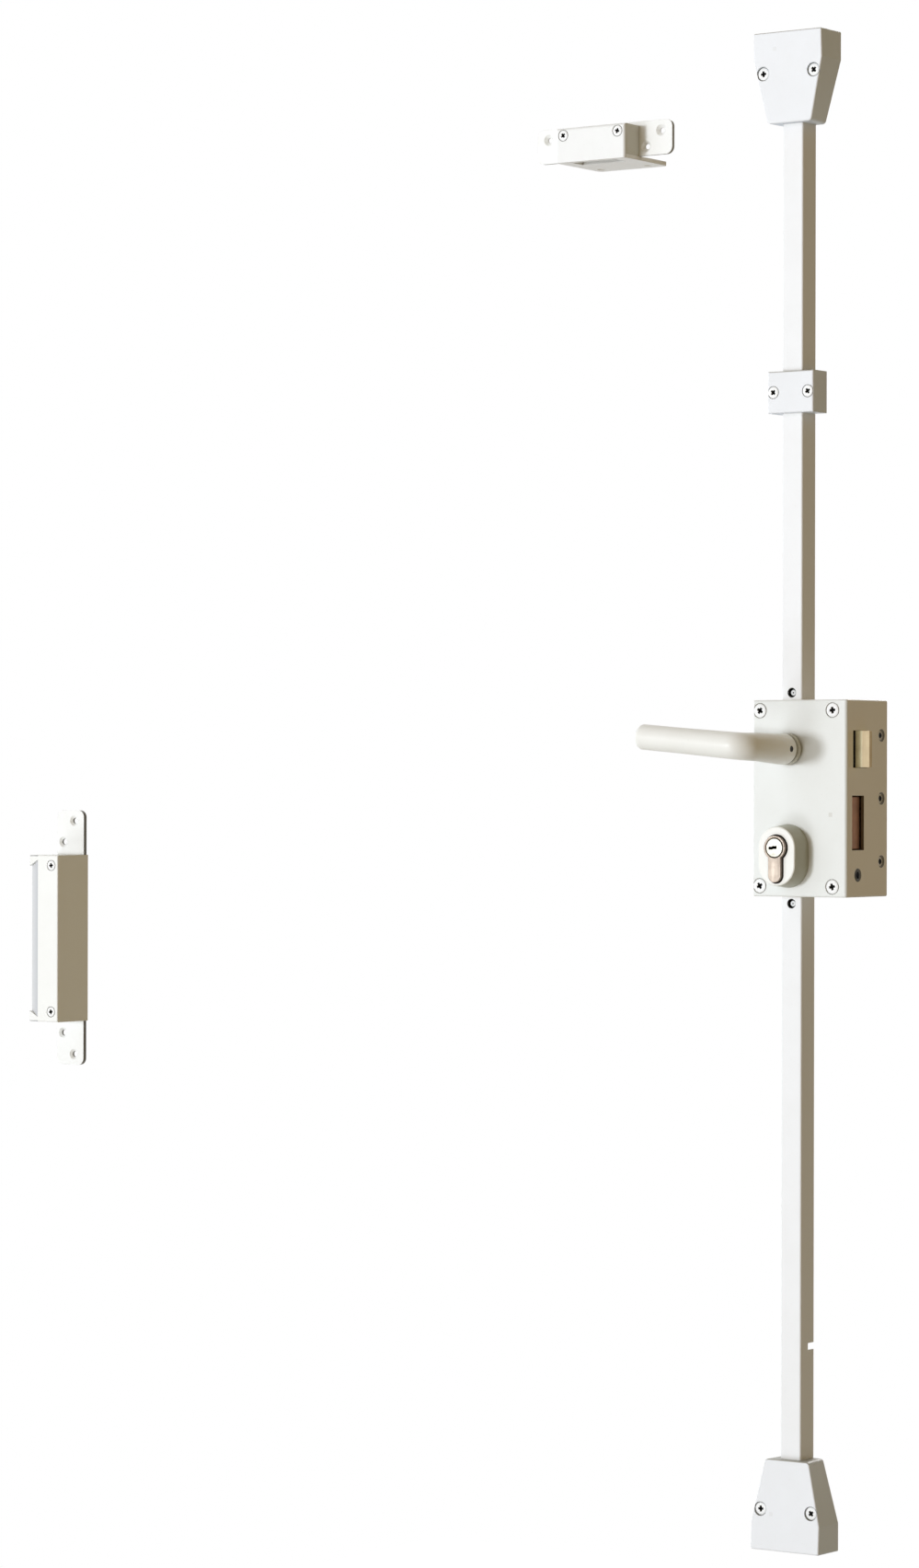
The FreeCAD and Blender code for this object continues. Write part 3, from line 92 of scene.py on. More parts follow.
def set_camera():
    right = Vector((math.cos(camera_yaw), math.sin(camera_yaw), 0))
    back = right.cross(UP)
    turned_right = right * math.cos(camera_roll) + UP * math.sin(camera_roll)
    turned_up = UP * math.cos(camera_roll) - right * math.sin(camera_roll)
    data = bpy.data.cameras.new("camera")
    data.lens = camera_lens
    data.sensor_width = camera_sensor
    data.clip_end = camera_reach
    camera = bpy.data.objects.new("camera", data)
    pose = Matrix((turned_right, turned_up, back)).transposed().to_4x4()
    pose.translation = camera_place
    camera.matrix_world = pose
    bpy.context.scene.collection.objects.link(camera)
    bpy.context.scene.camera = camera


# Node helpers
soft_samples = 6


class Tree:
    """A material's or world's nodes, with short calls to add and join them."""

    def __init__(self, nodes_of):
        self.tree = nodes_of.node_tree
        self.tree.nodes.clear()

    def add(self, kind, inputs=None, **settings):
        made = self.tree.nodes.new(kind)
        for name, value in settings.items():
            setattr(made, name, value)
        for name, value in (inputs or {}).items():
            self.feed(made, name, value)
        return made

    def feed(self, target, name, value):
        socket = target.inputs[name]
        if isinstance(value, bpy.types.NodeSocket):
            self.tree.links.new(value, socket)
        else:
            socket.default_value = value

    def math(self, operation, first, second=0.0):
        return self.add("ShaderNodeMath", {0: first, 1: second}, operation=operation).outputs[0]

    def both(self, first, second):
        return self.math("MULTIPLY", first, second)

    def near(self, value, middle, margin):
        return self.add("ShaderNodeMath", {0: value, 1: middle, 2: margin}, operation="COMPARE").outputs[0]

    def ramp(self, value, low, high, to_low=0.0, to_high=1.0):
        made = self.add("ShaderNodeMapRange", {
            "Value": value, "From Min": low, "From Max": high, "To Min": to_low, "To Max": to_high})
        return made.outputs["Result"]

    def mix(self, share, first, second):
        return self.add("ShaderNodeMix", {0: share, 6: first, 7: second}, data_type="RGBA").outputs[2]

    def noise(self, place, scale, detail=2.0, roughness=0.5):
        made = self.add("ShaderNodeTexNoise", {
            "Vector": place, "Scale": scale, "Detail": detail, "Roughness": roughness})
        return made.outputs[0]

    def split(self, vector):
        """The X, Y and Z of a vector, by name."""
        return self.add("ShaderNodeSeparateXYZ", {"Vector": vector}).outputs

    def normal(self):
        """The X, Y and Z of the object's own normal."""
        return self.split(self.add("ShaderNodeTexCoord").outputs["Normal"])

    def facing(self):
        """How squarely a face points to the room or the door, from 0 to 1."""
        return self.math("ABSOLUTE", self.normal()["Y"])

    def occlusion(self, distance):
        """How open a place is to its surroundings within a distance."""
        made = self.add("ShaderNodeAmbientOcclusion", {"Distance": distance}, samples=soft_samples)
        return made.outputs["AO"]

    def rounded(self, radius):
        """The normal as it would be with rounded edges."""
        return self.add("ShaderNodeBevel", {"Radius": radius}, samples=soft_samples).outputs["Normal"]

    def flatness(self, rounded):
        """How well a rounded normal agrees with the face's own, lower near edges."""
        flat = self.add("ShaderNodeNewGeometry").outputs["Normal"]
        made = self.add("ShaderNodeVectorMath", {0: rounded, 1: flat}, operation="DOT_PRODUCT")
        return made.outputs["Value"]

    def bump(self, strength, distance, height, **normal):
        made = self.add("ShaderNodeBump", {
            "Strength": strength, "Distance": distance, "Height": height, **normal})
        return made.outputs["Normal"]

    def seen(self):
        """1 for rays from the camera, off a glossy face or through glass, 0 for the rest."""
        path = self.add("ShaderNodeLightPath").outputs
        mirrored = self.math("MAXIMUM", path["Is Camera Ray"], path["Is Glossy Ray"])
        return self.math("MAXIMUM", mirrored, path["Is Transmission Ray"])


def srgb(red, green, blue):
    def linear(value):
        value = value / 255
        return value / 12.92 if value <= 0.04045 else ((value + 0.055) / 1.055) ** 2.4

    return (linear(red), linear(green), linear(blue), 1.0)


def new_material(name):
    material = bpy.data.materials.new(name)
    material.use_nodes = True
    tree = Tree(material)
    shader = tree.add("ShaderNodeBsdfPrincipled")
    output = tree.add("ShaderNodeOutputMaterial")
    tree.feed(output, "Surface", shader.outputs["BSDF"])
    place = tree.add("ShaderNodeTexCoord").outputs["Object"]
    return material, tree, shader, place


# Powder coat
# The coat's dirt colours also serve as painted shade in corners.
coat_grime_and_shade = srgb(176, 170, 156)
rose_grime_and_shade = srgb(120, 116, 98)
screw_grime_and_shade = srgb(196, 198, 198)
# Painted shade for crevices, grooves, the walls of openings and the back edge by the door.
painted_shade_dark = srgb(62, 60, 52)
seam_shade_dark = srgb(92, 86, 68)
# Painted shade on the latch ramp of the strike.
ramp_shade_grey = srgb(176, 178, 184)
# Painted shade on room-facing walls far inside the openings.
opening_shade_brown = srgb(104, 92, 74)
coat_specular = 0.42
coat_grain = 1500.0
coat_peel = 420.0
coat_clouds = 38.0
coat_specks = 900.0
corner_reach = 3.5 * MM
crevice_reach = 0.9 * MM
peel_height = 0.06 * MM
mark_radius = 1.5 * MM


def powder_coat(name, colour, grime_and_shade=coat_grime_and_shade, edge_round=0.35 * MM, peel=0.10, roughness=0.42, seam=None,
                ramp_shade=None, bare_and_shaded_rim=None, rim_above=None, sink_shade=None, groove=None,
                pits=(), top_shade=None, marks=()):
    """Sprayed and baked white coat: fine orange peel, faint clouds, worn sharp edges, corners darkened partly
    by dirt and partly as painted shade.

    seam is the depth of the dark band along the back edge where the piece meets the door, painted shade;
    ramp_shade the X range of a strike's latch ramp, painted greyer as shade; and bare_and_shaded_rim the
    colour of faces that look sideways, partly thinly coated or uncoated edges and partly painted light and
    shade of the sides, above the height rim_above if given. sink_shade is the Y behind which countersinks are
    painted dark as shade, and their colour; room-facing walls behind it get painted shade as well. groove is
    an axis and a radius within which turned grooves are painted dark as shade, pits the boxes of openings
    whose walls are painted dark as shade, top_shade the colour painted as shade on faces that look up, and
    marks are faint spots, each with its X, its Z and its share."""
    material, tree, shader, place = new_material(name)
    grain = tree.noise(place, coat_grain, 2.0)
    coarse = tree.noise(place, coat_peel, 3.0)
    clouds = tree.noise(place, coat_clouds, 4.0, 0.6)
    specks = tree.noise(place, coat_specks, 1.0)
    # Darker in corners by occlusion and blotched by the clouds: partly dirt, partly painted shade.
    corner_shade = tree.ramp(tree.occlusion(corner_reach), 0.35, 0.95, 1.0, 0.0)
    corner_dust_and_shade = tree.both(corner_shade, tree.ramp(clouds, 0.3, 0.7, 0.35, 0.75))
    cloudy = tree.mix(tree.ramp(clouds, 0.3, 0.7, 0.0, 0.055), colour, grime_and_shade)
    speckled = tree.mix(tree.ramp(specks, 0.70, 0.78, 0.0, 0.10), cloudy, grime_and_shade)
    rounded = tree.rounded(edge_round)
    worn = tree.both(tree.ramp(tree.flatness(rounded), 0.97, 0.80, 0.0, 1.0),
                     tree.ramp(coarse, 0.52, 0.66, 0.0, 0.22))
    # Painted shade in narrow crevices.
    deep = tree.ramp(tree.occlusion(crevice_reach), 0.15, 0.70, 0.9, 0.0)
    dusted_and_shaded = tree.mix(deep, tree.mix(corner_dust_and_shade, speckled, grime_and_shade), painted_shade_dark)
    colour = tree.mix(worn, dusted_and_shaded, grime_and_shade)
    at = tree.split(place)
    # Painted shade: a dark band along the back edge, where the piece meets the door.
    if seam:
        line = tree.ramp(at["Y"], -seam, -0.35 * seam, 0.0, 0.78)
        colour = tree.mix(line, colour, seam_shade_dark)
    # Painted shade: the latch ramp of the strike is greyed where it turns from the light.
    if ramp_shade:
        outer, inner = ramp_shade
        ramp_shade_share = tree.ramp(at["X"], outer, inner, 0.50, 0.80)
        inside = tree.math("LESS_THAN", at["X"], inner)
        sunk = tree.ramp(tree.facing(), 0.9995, 0.985)
        colour = tree.mix(tree.both(tree.both(ramp_shade_share, inside), sunk), colour, ramp_shade_grey)
    # Painted shade in the turned grooves of the rose.
    if groove:
        centre, radius = groove
        dx = tree.math("SUBTRACT", at["X"], centre.x)
        dz = tree.math("SUBTRACT", at["Z"], centre.z)
        reach = tree.math("SQRT", tree.math("ADD", tree.both(dx, dx), tree.both(dz, dz)))
        sunk = tree.both(tree.math("LESS_THAN", reach, radius), tree.ramp(tree.facing(), 0.9, 0.5))
        colour = tree.mix(tree.both(sunk, 0.85), colour, painted_shade_dark)
    # Faces that look sideways: partly thinly coated or bare edges, partly painted light and shade of the
    # sides.
    if bare_and_shaded_rim:
        rim_share = tree.ramp(tree.facing(), 0.5, 0.2)
        if rim_above is not None:
            rim_share = tree.both(rim_share, tree.math("GREATER_THAN", at["Z"], rim_above))
        colour = tree.mix(rim_share, colour, bare_and_shaded_rim)
    normal = tree.normal()
    # Painted shade in the countersinks, and on room-facing walls far inside the openings.
    if sink_shade:
        from_y, sink_shade_colour = sink_shade
        behind = tree.math("GREATER_THAN", at["Y"], from_y)
        slanted = tree.near(normal["X"], 0.70, 0.08)
        colour = tree.mix(tree.both(slanted, behind), colour, sink_shade_colour)
        opening_wall = tree.math("LESS_THAN", normal["Y"], -0.9)
        colour = tree.mix(tree.both(opening_wall, behind), colour, opening_shade_brown)
    # Painted shade on the walls of openings.
    for low, high in pits:
        middle, half = (low + high) / 2, (high - low) / 2
        inside = tree.both(tree.near(at["X"], middle.x, half.x), tree.near(at["Z"], middle.z, half.z))
        wall = tree.both(inside, tree.ramp(tree.facing(), 0.7, 0.5))
        colour = tree.mix(tree.both(wall, 0.92), colour, painted_shade_dark)
    # Painted shade on faces that look up.
    if top_shade:
        colour = tree.mix(tree.ramp(normal["Z"], 0.25, 0.75, 0.0, 0.8), colour, top_shade)
    for x, z, share in marks:
        spot = tree.both(tree.near(at["X"], x, mark_radius), tree.near(at["Z"], z, mark_radius))
        colour = tree.mix(tree.both(spot, share), colour, grime_and_shade)
    tree.feed(shader, "Base Color", colour)
    tree.feed(shader, "Roughness", tree.ramp(coarse, 0.2, 0.8, roughness - 0.05, roughness + 0.08))
    shader.inputs["Specular IOR Level"].default_value = coat_specular
    height = tree.math("ADD", grain, tree.both(coarse, 0.8))
    tree.feed(shader, "Normal", tree.bump(peel, peel_height, height, Normal=rounded))
    return material


# Bare metal and plastic
# Painted shade: near black for parts that lie in shade inside.
inner_shade_black = srgb(16, 14, 12)
metal_lines = 900.0
metal_clouds = 130.0
metal_grain = 0.25
metal_corner_reach = 2.0 * MM
line_height = 0.03 * MM


def brushed_metal(name, colour, dark, stretch, roughness=0.34, metallic=1.0, edge_round=0.2 * MM,
                  corner_shade_share=0.85, black=None, painted_light_band=None, edge_shade=0.0):
    """Plated or machined metal: fine lines along one axis, tarnish in clouds and painted shade in the
    corners.

    black is an axis and the two places along it between which the finish turns near black, painted shade
    where the piece lies inside. painted_light_band is a lighter colour painted near the plate that the piece
    slides through, against the shadow cast there, and the two places along X between which it fades out.
    edge_shade is how much painted shade darkens sharp edges."""
    material, tree, shader, place = new_material(name)
    stretched = tree.add("ShaderNodeMapping", {"Vector": place, "Scale": stretch}).outputs["Vector"]
    lines = tree.noise(stretched, metal_lines, 3.0)
    clouds = tree.noise(place, metal_clouds, 3.0, 0.6)
    # Painted shade in corners.
    corner_shade = tree.ramp(tree.occlusion(metal_corner_reach), 0.3, 0.95, corner_shade_share, 0.0)
    tarnish = tree.both(tree.ramp(clouds, 0.42, 0.72), 0.30)
    # Painted light: a lighter band near the plate, against the shadow that the case casts there.
    if painted_light_band:
        painted_light, begins, ends = painted_light_band
        colour = tree.mix(tree.ramp(tree.split(place)["X"], begins, ends), painted_light, colour)
    tinted = tree.mix(tarnish, colour, dark)
    streaked = tree.mix(tree.ramp(lines, 0.35, 0.75, 0.0, 0.16), tinted, dark)
    shown = tree.mix(corner_shade, streaked, dark)
    # Painted shade: the finish turns near black where the piece lies in shade inside.
    if black:
        axis, unshaded_until, shaded_from = black
        shown = tree.mix(tree.ramp(tree.split(place)[axis], unshaded_until, shaded_from), shown, inner_shade_black)
    shader.inputs["Metallic"].default_value = metallic
    tree.feed(shader, "Roughness", tree.ramp(lines, 0.2, 0.8, roughness - 0.08, roughness + 0.12))
    rounded = tree.rounded(edge_round)
    # Painted shade along sharp edges.
    if edge_shade:
        shown = tree.mix(tree.ramp(tree.flatness(rounded), 0.995, 0.90, 0.0, edge_shade), shown, dark)
    tree.feed(shader, "Base Color", shown)
    tree.feed(shader, "Normal", tree.bump(metal_grain, line_height, lines, Normal=rounded))
    return material


plastic_grain = 2600.0
plastic_clouds = 60.0
plastic_corner_reach = 3.0 * MM
plastic_height = 0.05 * MM


def moulded_plastic(name, colour, dark):
    material, tree, shader, place = new_material(name)
    grain = tree.noise(place, plastic_grain, 2.0)
    clouds = tree.noise(place, plastic_clouds, 3.0)
    # Painted shade in corners.
    corner_shade = tree.ramp(tree.occlusion(plastic_corner_reach), 0.3, 0.95, 0.6, 0.0)
    cloudy = tree.mix(tree.ramp(clouds, 0.3, 0.7, 0.0, 0.12), colour, dark)
    tree.feed(shader, "Base Color", tree.mix(corner_shade, cloudy, dark))
    tree.feed(shader, "Roughness", tree.ramp(grain, 0.2, 0.8, 0.45, 0.6))
    tree.feed(shader, "Normal", tree.bump(0.2, plastic_height, grain))
    return material


# Places that the finishes need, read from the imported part
case_low, case_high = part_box("case_cover")
edge_x = case_high.x
strike_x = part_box("main_strike_cover")[0].x
bracket_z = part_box("top_strike_bracket")[0].z
spindle_low, spindle_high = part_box("spindle")
lever_axis = (spindle_low + spindle_high) / 2
rose_low, rose_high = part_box("lever_rose")
rose_inside = (rose_high.x - rose_low.x) / 2 - 0.5 * MM
housing_low, housing_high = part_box("cylinder_housing")
housing_gap = Vector((1, 1, 1)) * 1.2 * MM
barrel_radius = (housing_high.x - housing_low.x) / 2
barrel_reach = Vector((barrel_radius, 0, barrel_radius))
barrel = Vector((lever_axis.x, 0, housing_high.z - barrel_radius))
leg_reach = Vector((5.0 * MM, 0, 0))
leg_foot = Vector((barrel.x, 0, housing_low.z))
round_pit = (barrel - barrel_reach - housing_gap, barrel + barrel_reach + housing_gap)
leg_pit = (leg_foot - leg_reach - housing_gap, barrel + leg_reach)
link_hole_reach = Vector((1, 1, 1)) * 3.9 * MM


def link_pit(node):
    """The box round the hole in a rod cover that shows the link screw."""
    low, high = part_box(node)
    middle = (low + high) / 2
    return middle - link_hole_reach, middle + link_hole_reach


# Finishes of the coated pieces
smooth = {"peel": 0.05, "roughness": 0.34}
# Countersinks and room-facing walls inside the openings are painted shade.
case_coat = powder_coat("case_coat", srgb(232, 234, 232), bare_and_shaded_rim=srgb(234, 230, 220),
                        sink_shade=(case_low.y + 10 * MM, srgb(112, 106, 92)),
                        marks=[(25.2 * MM, -11.5 * MM, 0.30)])
# The pits are painted shade inside the holes that show the link screws.
cover_coat = powder_coat("cover_coat", srgb(240, 241, 243), seam=2.0 * MM, bare_and_shaded_rim=srgb(232, 234, 236),
                         pits=(link_pit("upper_link_screw"), link_pit("lower_link_screw")))
# Upward faces of the caps are painted darker as shade.
cap_coat = powder_coat("cap_coat", srgb(234, 236, 240), peel=0.16, seam=0.9 * MM,
                       bare_and_shaded_rim=srgb(220, 228, 238), top_shade=srgb(150, 145, 128),
                       marks=[(-40.8 * MM, 539.9 * MM, 0.12), (-42.1 * MM, -516.0 * MM, 0.12)])
handle_coat = powder_coat("handle_coat", srgb(244, 244, 240), **smooth)
# The rose's corners and grooves are painted dark as shade.
rose_coat = powder_coat("rose_coat", srgb(240, 240, 236), rose_grime_and_shade, bare_and_shaded_rim=srgb(204, 201, 186),
                        groove=(lever_axis, rose_inside), **smooth)
# The escutcheon's sides and the walls round the cylinder are painted darker as shade.
escutcheon_coat = powder_coat("escutcheon_coat", srgb(246, 246, 242), bare_and_shaded_rim=srgb(178, 178, 162),
                              pits=(round_pit, leg_pit), **smooth)
# The latch ramp is painted greyer as shade.
strike_coat = powder_coat("strike_coat", srgb(249, 250, 248), ramp_shade=(strike_x, strike_x + 8.3 * MM),
                          bare_and_shaded_rim=srgb(252, 255, 255))
plain_strike_coat = powder_coat("plain_strike_coat", srgb(243, 244, 244), bare_and_shaded_rim=srgb(212, 211, 200))
# Sideways faces are painted darker: partly bare edges, partly painted shade.
bracket_coat = powder_coat("bracket_coat", srgb(248, 249, 248), bare_and_shaded_rim=srgb(150, 147, 136),
                           rim_above=bracket_z + 2.9 * MM)
# Sideways faces are painted dark: partly bare edges, partly painted shade.
plate_coat = powder_coat("plate_coat", srgb(249, 250, 249), bare_and_shaded_rim=srgb(112, 110, 102))
screw_coat = powder_coat("screw_coat", srgb(250, 251, 252), screw_grime_and_shade, edge_round=0.15 * MM, peel=0.05)

# Finishes of the bare pieces, each with the axis that its lines follow
ALONG_X = (0.06, 1.0, 1.0)
ALONG_Y = (1.0, 0.06, 1.0)
ALONG_Z = (1.0, 1.0, 0.06)
NO_LINES = (1, 1, 1)
# Painted shade: cross recesses and sockets are near black.
recess_shade_black = brushed_metal("recess_shade_black", srgb(20, 19, 18), srgb(8, 8, 8), ALONG_Y, 0.7, metallic=0.0)
# Sharp edges of the cylinder are painted darker as shade.
nickel = brushed_metal("nickel", srgb(168, 155, 142), srgb(74, 62, 52), ALONG_Z, 0.50, edge_round=0.45 * MM,
                       corner_shade_share=0.25, edge_shade=0.85)
# The plug turns near black behind its face, painted shade in the keyway; its edges are painted darker as
# shade.
plug_nickel = brushed_metal("plug_nickel", srgb(204, 201, 188), srgb(62, 50, 40), ALONG_X, 0.50,
                            corner_shade_share=0.2, edge_round=0.5 * MM, edge_shade=0.95,
                            black=("Y", housing_low.y + 0.02 * MM, housing_low.y + 0.25 * MM))
# The latch is painted lighter near the case edge and near black inside the case: painted light and painted
# shade.
latch_nickel = brushed_metal("latch_nickel", srgb(212, 193, 156), srgb(170, 146, 110), ALONG_Z, 0.60,
                             metallic=0.1, corner_shade_share=0.0,
                             painted_light_band=(srgb(255, 250, 216), edge_x + 3.5 * MM, edge_x + 5.5 * MM),
                             black=("X", edge_x + 0.1 * MM, edge_x - 0.9 * MM))
# The deadbolt's brass is painted brown: the shade of its window.
bolt_shaded_brass = brushed_metal("bolt_shaded_brass", srgb(140, 98, 68), srgb(60, 44, 32), ALONG_Z, 0.45, metallic=0.8)
zinc = brushed_metal("zinc", srgb(150, 150, 144), srgb(90, 90, 84), ALONG_Z, 0.45)
# The rods are painted dark: the shade seen through the link holes.
shaded_rod_steel = brushed_metal("shaded_rod_steel", srgb(44, 42, 38), srgb(20, 19, 17), ALONG_Z, 0.50, metallic=0.3)
dark_steel = brushed_metal("dark_steel", srgb(66, 60, 44), srgb(30, 27, 20), ALONG_Z, 0.55, metallic=0.3)
machined = brushed_metal("machined", srgb(150, 150, 150), srgb(80, 78, 76), ALONG_Y, 0.32)
wire_steel = brushed_metal("wire_steel", srgb(160, 160, 164), srgb(80, 80, 84), ALONG_X, 0.28)
cast_grey = brushed_metal("cast_grey", srgb(170, 170, 170), srgb(110, 110, 108), NO_LINES, 0.55, metallic=0.9)
guide_plastic = moulded_plastic("guide_plastic", srgb(226, 226, 222), srgb(150, 148, 142))

finish_of_slot = {
    "white_coat": case_coat,
    "handle_coat": handle_coat,
    "strike_coat": strike_coat,
    "coated_screw": screw_coat,
    "nickel_brass": nickel,
    "bright_screw": zinc,
    "latch_metal": latch_nickel,
    "bolt_metal": bolt_shaded_brass,
    "zinc_steel": zinc,
    "gear_steel": machined,
    "spring_steel": wire_steel,
    "cast_block": cast_grey,
    "guide_plastic": guide_plastic,
}
finish_of_node = {
    "upper_rod_cover": cover_coat,
    "upper_rod_cover_end": cover_coat,
    "lower_rod_cover": cover_coat,
    "rod_guide_cover": cap_coat,
    "top_cap_cover": cap_coat,
    "bottom_cap_cover": cap_coat,
    "top_strike_cover": plain_strike_coat,
    "main_strike_plate": plate_coat,
    "top_strike_bracket": bracket_coat,
    "lever_rose": rose_coat,
    "cylinder_escutcheon": escutcheon_coat,
    "main_strike_cover": strike_coat,
    "plug_inner": plug_nickel,
    "plug_outer": nickel,
    "upper_rod": shaded_rod_steel,
    "lower_rod": shaded_rod_steel,
    "upper_slide": shaded_rod_steel,
    "lower_slide": shaded_rod_steel,
}
slot_of = {entry["node"]: entry["material_slot"] for entry in frame["record"]["subparts"]}
sharp_from = math.radians(28)


def dress_nodes():
    for name, node in nodes.items():
        finish = finish_of_node.get(name) or finish_of_slot[slot_of[name]]
        node.data.materials.clear()
        node.data.materials.append(finish)
        node.data.shade_smooth()
        node.data.set_sharp_from_angle(angle=sharp_from)


# Mesh helpers
def piece(name, mesh, materials, node):
    """A piece that stands for a node of the part, and has its body."""
    for material in materials:
        mesh.materials.append(material)
    mesh.shade_smooth()
    mesh.set_sharp_from_angle(angle=sharp_from)
    made = bpy.data.objects.new(name, mesh)
    bpy.context.scene.collection.objects.link(made)
    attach(made, nodes[node]["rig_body"])
    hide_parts(node)
    return made


def mesh_of(build, name):
    mesh = bpy.data.meshes.new(name)
    bmesh.ops.recalc_face_normals(build, faces=build.faces)
    build.to_mesh(mesh)
    build.free()
    return mesh


def around(count):
    """That many angles, evenly round a circle."""
    return [2 * math.pi * step / count for step in range(count)]


def ring(build, points):
    return [build.verts.new(point) for point in points]


def circle(build, pose, radius, z, count):
    points = [Vector((radius * math.cos(angle), radius * math.sin(angle), z)) for angle in around(count)]
    return ring(build, [pose @ point for point in points])


def bridge(build, first, second, material=0):
    count = len(first)
    for index in range(count):
        after = (index + 1) % count
        face = build.faces.new((first[index], first[after], second[after], second[index]))
        face.material_index = material


def fill_between(build, outer, inner):
    """Flat face between an outline and one hole in it."""
    corners = outer + inner
    for triangle in tessellate_polygon([[v.co for v in outer], [v.co for v in inner]]):
        build.faces.new([corners[index] for index in triangle])


def aim(place, direction, spin=0.0):
    """Turns +Z to the given direction, after a spin about it, and moves it to the place."""
    turn = UP.rotation_difference(direction).to_matrix().to_4x4()
    return Matrix.Translation(place) @ turn @ Matrix.Rotation(spin, 4, "Z")


# Cross-recess screws. The head's rim is at z = 0 and the shank runs down.
# The cross and the dome are given in head radii, the taper and the tip as shares of the cross.
FINISH, RECESS = 0, 1
cross_reach = 0.50
cross_width = 0.19
cross_corner = 1.15
cross_taper = 0.50
cross_depth = 0.60
cross_lip = 0.05
cross_tip = 1.25
head_dome = 0.06
head_steps = 40


def cross_outline(reach, width, z):
    corners = []
    for quarter in range(4):
        turn = Matrix.Rotation(math.pi / 2 * quarter, 3, "Z")
        for x, y in ((reach, -width), (reach, width), (width * cross_corner, width * cross_corner)):
            corners.append(turn @ Vector((x, y, z)))
    return corners


def add_screw(build, head, shank, length, pose, reach=cross_reach, width=cross_width):
    def cross(reach_share, width_share, z):
        outline = cross_outline(reach * head * reach_share, width * head * width_share, z)
        return ring(build, [pose @ point for point in outline])

    crown = head_dome * head
    profile = [
        (0.62 * head, crown),
        (0.9 * head, 0.4 * crown),
        (0.985 * head, -0.02 * head),
        (head, -0.07 * head),
        (shank, -(head - shank)),
        (shank, -length + shank),
        (0.35 * shank, -length),
    ]
    rings = [circle(build, pose, radius, z, head_steps) for radius, z in profile]
    mouth = cross(1, 1, crown)
    fill_between(build, rings[0], mouth)
    for first, second in zip(rings, rings[1:]):
        bridge(build, first, second)
    build.faces.new(rings[-1])
    lip = cross(0.95, 0.86, crown - cross_lip * head)
    floor = cross(cross_taper, 0.7, crown - cross_depth * head)
    bridge(build, mouth, lip, FINISH)
    bridge(build, lip, floor, RECESS)
    tip = build.verts.new(pose @ Vector((0, 0, crown - cross_tip * cross_depth * head)))
    for index in range(len(floor)):
        face = build.faces.new((floor[index], floor[(index + 1) % len(floor)], tip))
        face.material_index = RECESS


def screw_group(node, direction, head, shank, finish, length=None, level=None, **cross):
    """Screws at the node's own places, each with its own turn of the cross unless level gives one."""
    build = bmesh.new()
    for place, depth in screw_places(node, direction):
        spin = dice.uniform(0, math.pi / 2) if level is None else level
        add_screw(build, head, shank, length or depth, aim(place, direction, spin), **cross)
    piece(node + "_crossed", mesh_of(build, node), [finish, recess_shade_black], node)


def islands(node):
    """The separate solids of a node, as lists of points."""
    mesh = nodes[node].data
    root = list(range(len(mesh.vertices)))

    def find(index):
        while root[index] != index:
            root[index] = root[root[index]]
            index = root[index]
        return index

    at = {}
    for vertex in mesh.vertices:
        key = tuple(round(value, 6) for value in vertex.co)
        if key in at:
            root[find(vertex.index)] = find(at[key])
        else:
            at[key] = vertex.index
    for edge in mesh.edges:
        root[find(edge.vertices[0])] = find(edge.vertices[1])
    groups = {}
    for vertex in mesh.vertices:
        groups.setdefault(find(vertex.index), []).append(vertex.co.copy())
    return sorted(groups.values(), key=lambda points: tuple(round(v, 5) for v in points[0]))


def screw_places(node, direction):
    """Each screw's head centre and length, read from the node's own solids."""
    found = []
    for points in islands(node):
        along = [point.dot(direction) for point in points]
        low, high = min(along), max(along)
        middle = Vector([(min(p[i] for p in points) + max(p[i] for p in points)) / 2 for i in range(3)])
        found.append((middle + direction * (high - middle.dot(direction)), high - low))
    return sorted(found, key=lambda entry: (round(entry[0].z, 4), round(entry[0].x, 4)))


def make_screws():
    edge_cross = {"level": 0, "reach": 0.84, "width": 0.36}
    fixing_cross = {"level": 0, "reach": 0.55, "width": 0.30}
    link = {"length": 4 * MM, "reach": 0.3, "width": 0.12}
    groups = [
        ("case_screws", TO_ROOM, 4.9, 2.0, screw_coat, {}),
        ("edge_screws", TO_EDGE, 3.4, 2.0, screw_coat, edge_cross),
        ("rod_guide_screws", TO_ROOM, 4.2, 1.75, screw_coat, {}),
        ("top_cap_screws", TO_ROOM, 4.5, 2.0, screw_coat, {}),
        ("bottom_cap_screws", TO_ROOM, 4.5, 2.0, screw_coat, {}),
        ("main_strike_screws", TO_ROOM, 3.9, 2.0, screw_coat, {}),
        ("top_strike_screws", TO_ROOM, 3.9, 2.0, screw_coat, {}),
        ("cylinder_fixing_screw", TO_EDGE, 4.5, 2.5, dark_steel, fixing_cross),
        ("upper_link_screw", TO_ROOM, 2.1, 1.4, screw_coat, link),
        ("lower_link_screw", TO_ROOM, 2.1, 1.4, screw_coat, link),
    ]
    for node, direction, head, shank, finish, facts in groups:
        screw_group(node, direction, head * MM, shank * MM, finish, **facts)


# Lever handle, swept along its own line
lever_low, lever_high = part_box("lever_handle")
lever_tilt = math.radians(4.9)
lever_lift = 1.3 * MM
lever_reach = 86.5 * MM
lever_collar = 0.8 * MM
lever_collar_round = 0.5 * MM
lever_collar_rise = 0.35 * MM
lever_neck = 11.2 * MM
lever_throat = 9.9 * MM
lever_grip = 9.1 * MM
lever_swell = 0.5 * MM
lever_bend = 10.0 * MM
lever_tip_round = 3.6 * MM
neck_steps = 14
bend_steps = 18
grip_steps = 12
swell_steps = 8
tip_steps = 9
lever_sides = 64


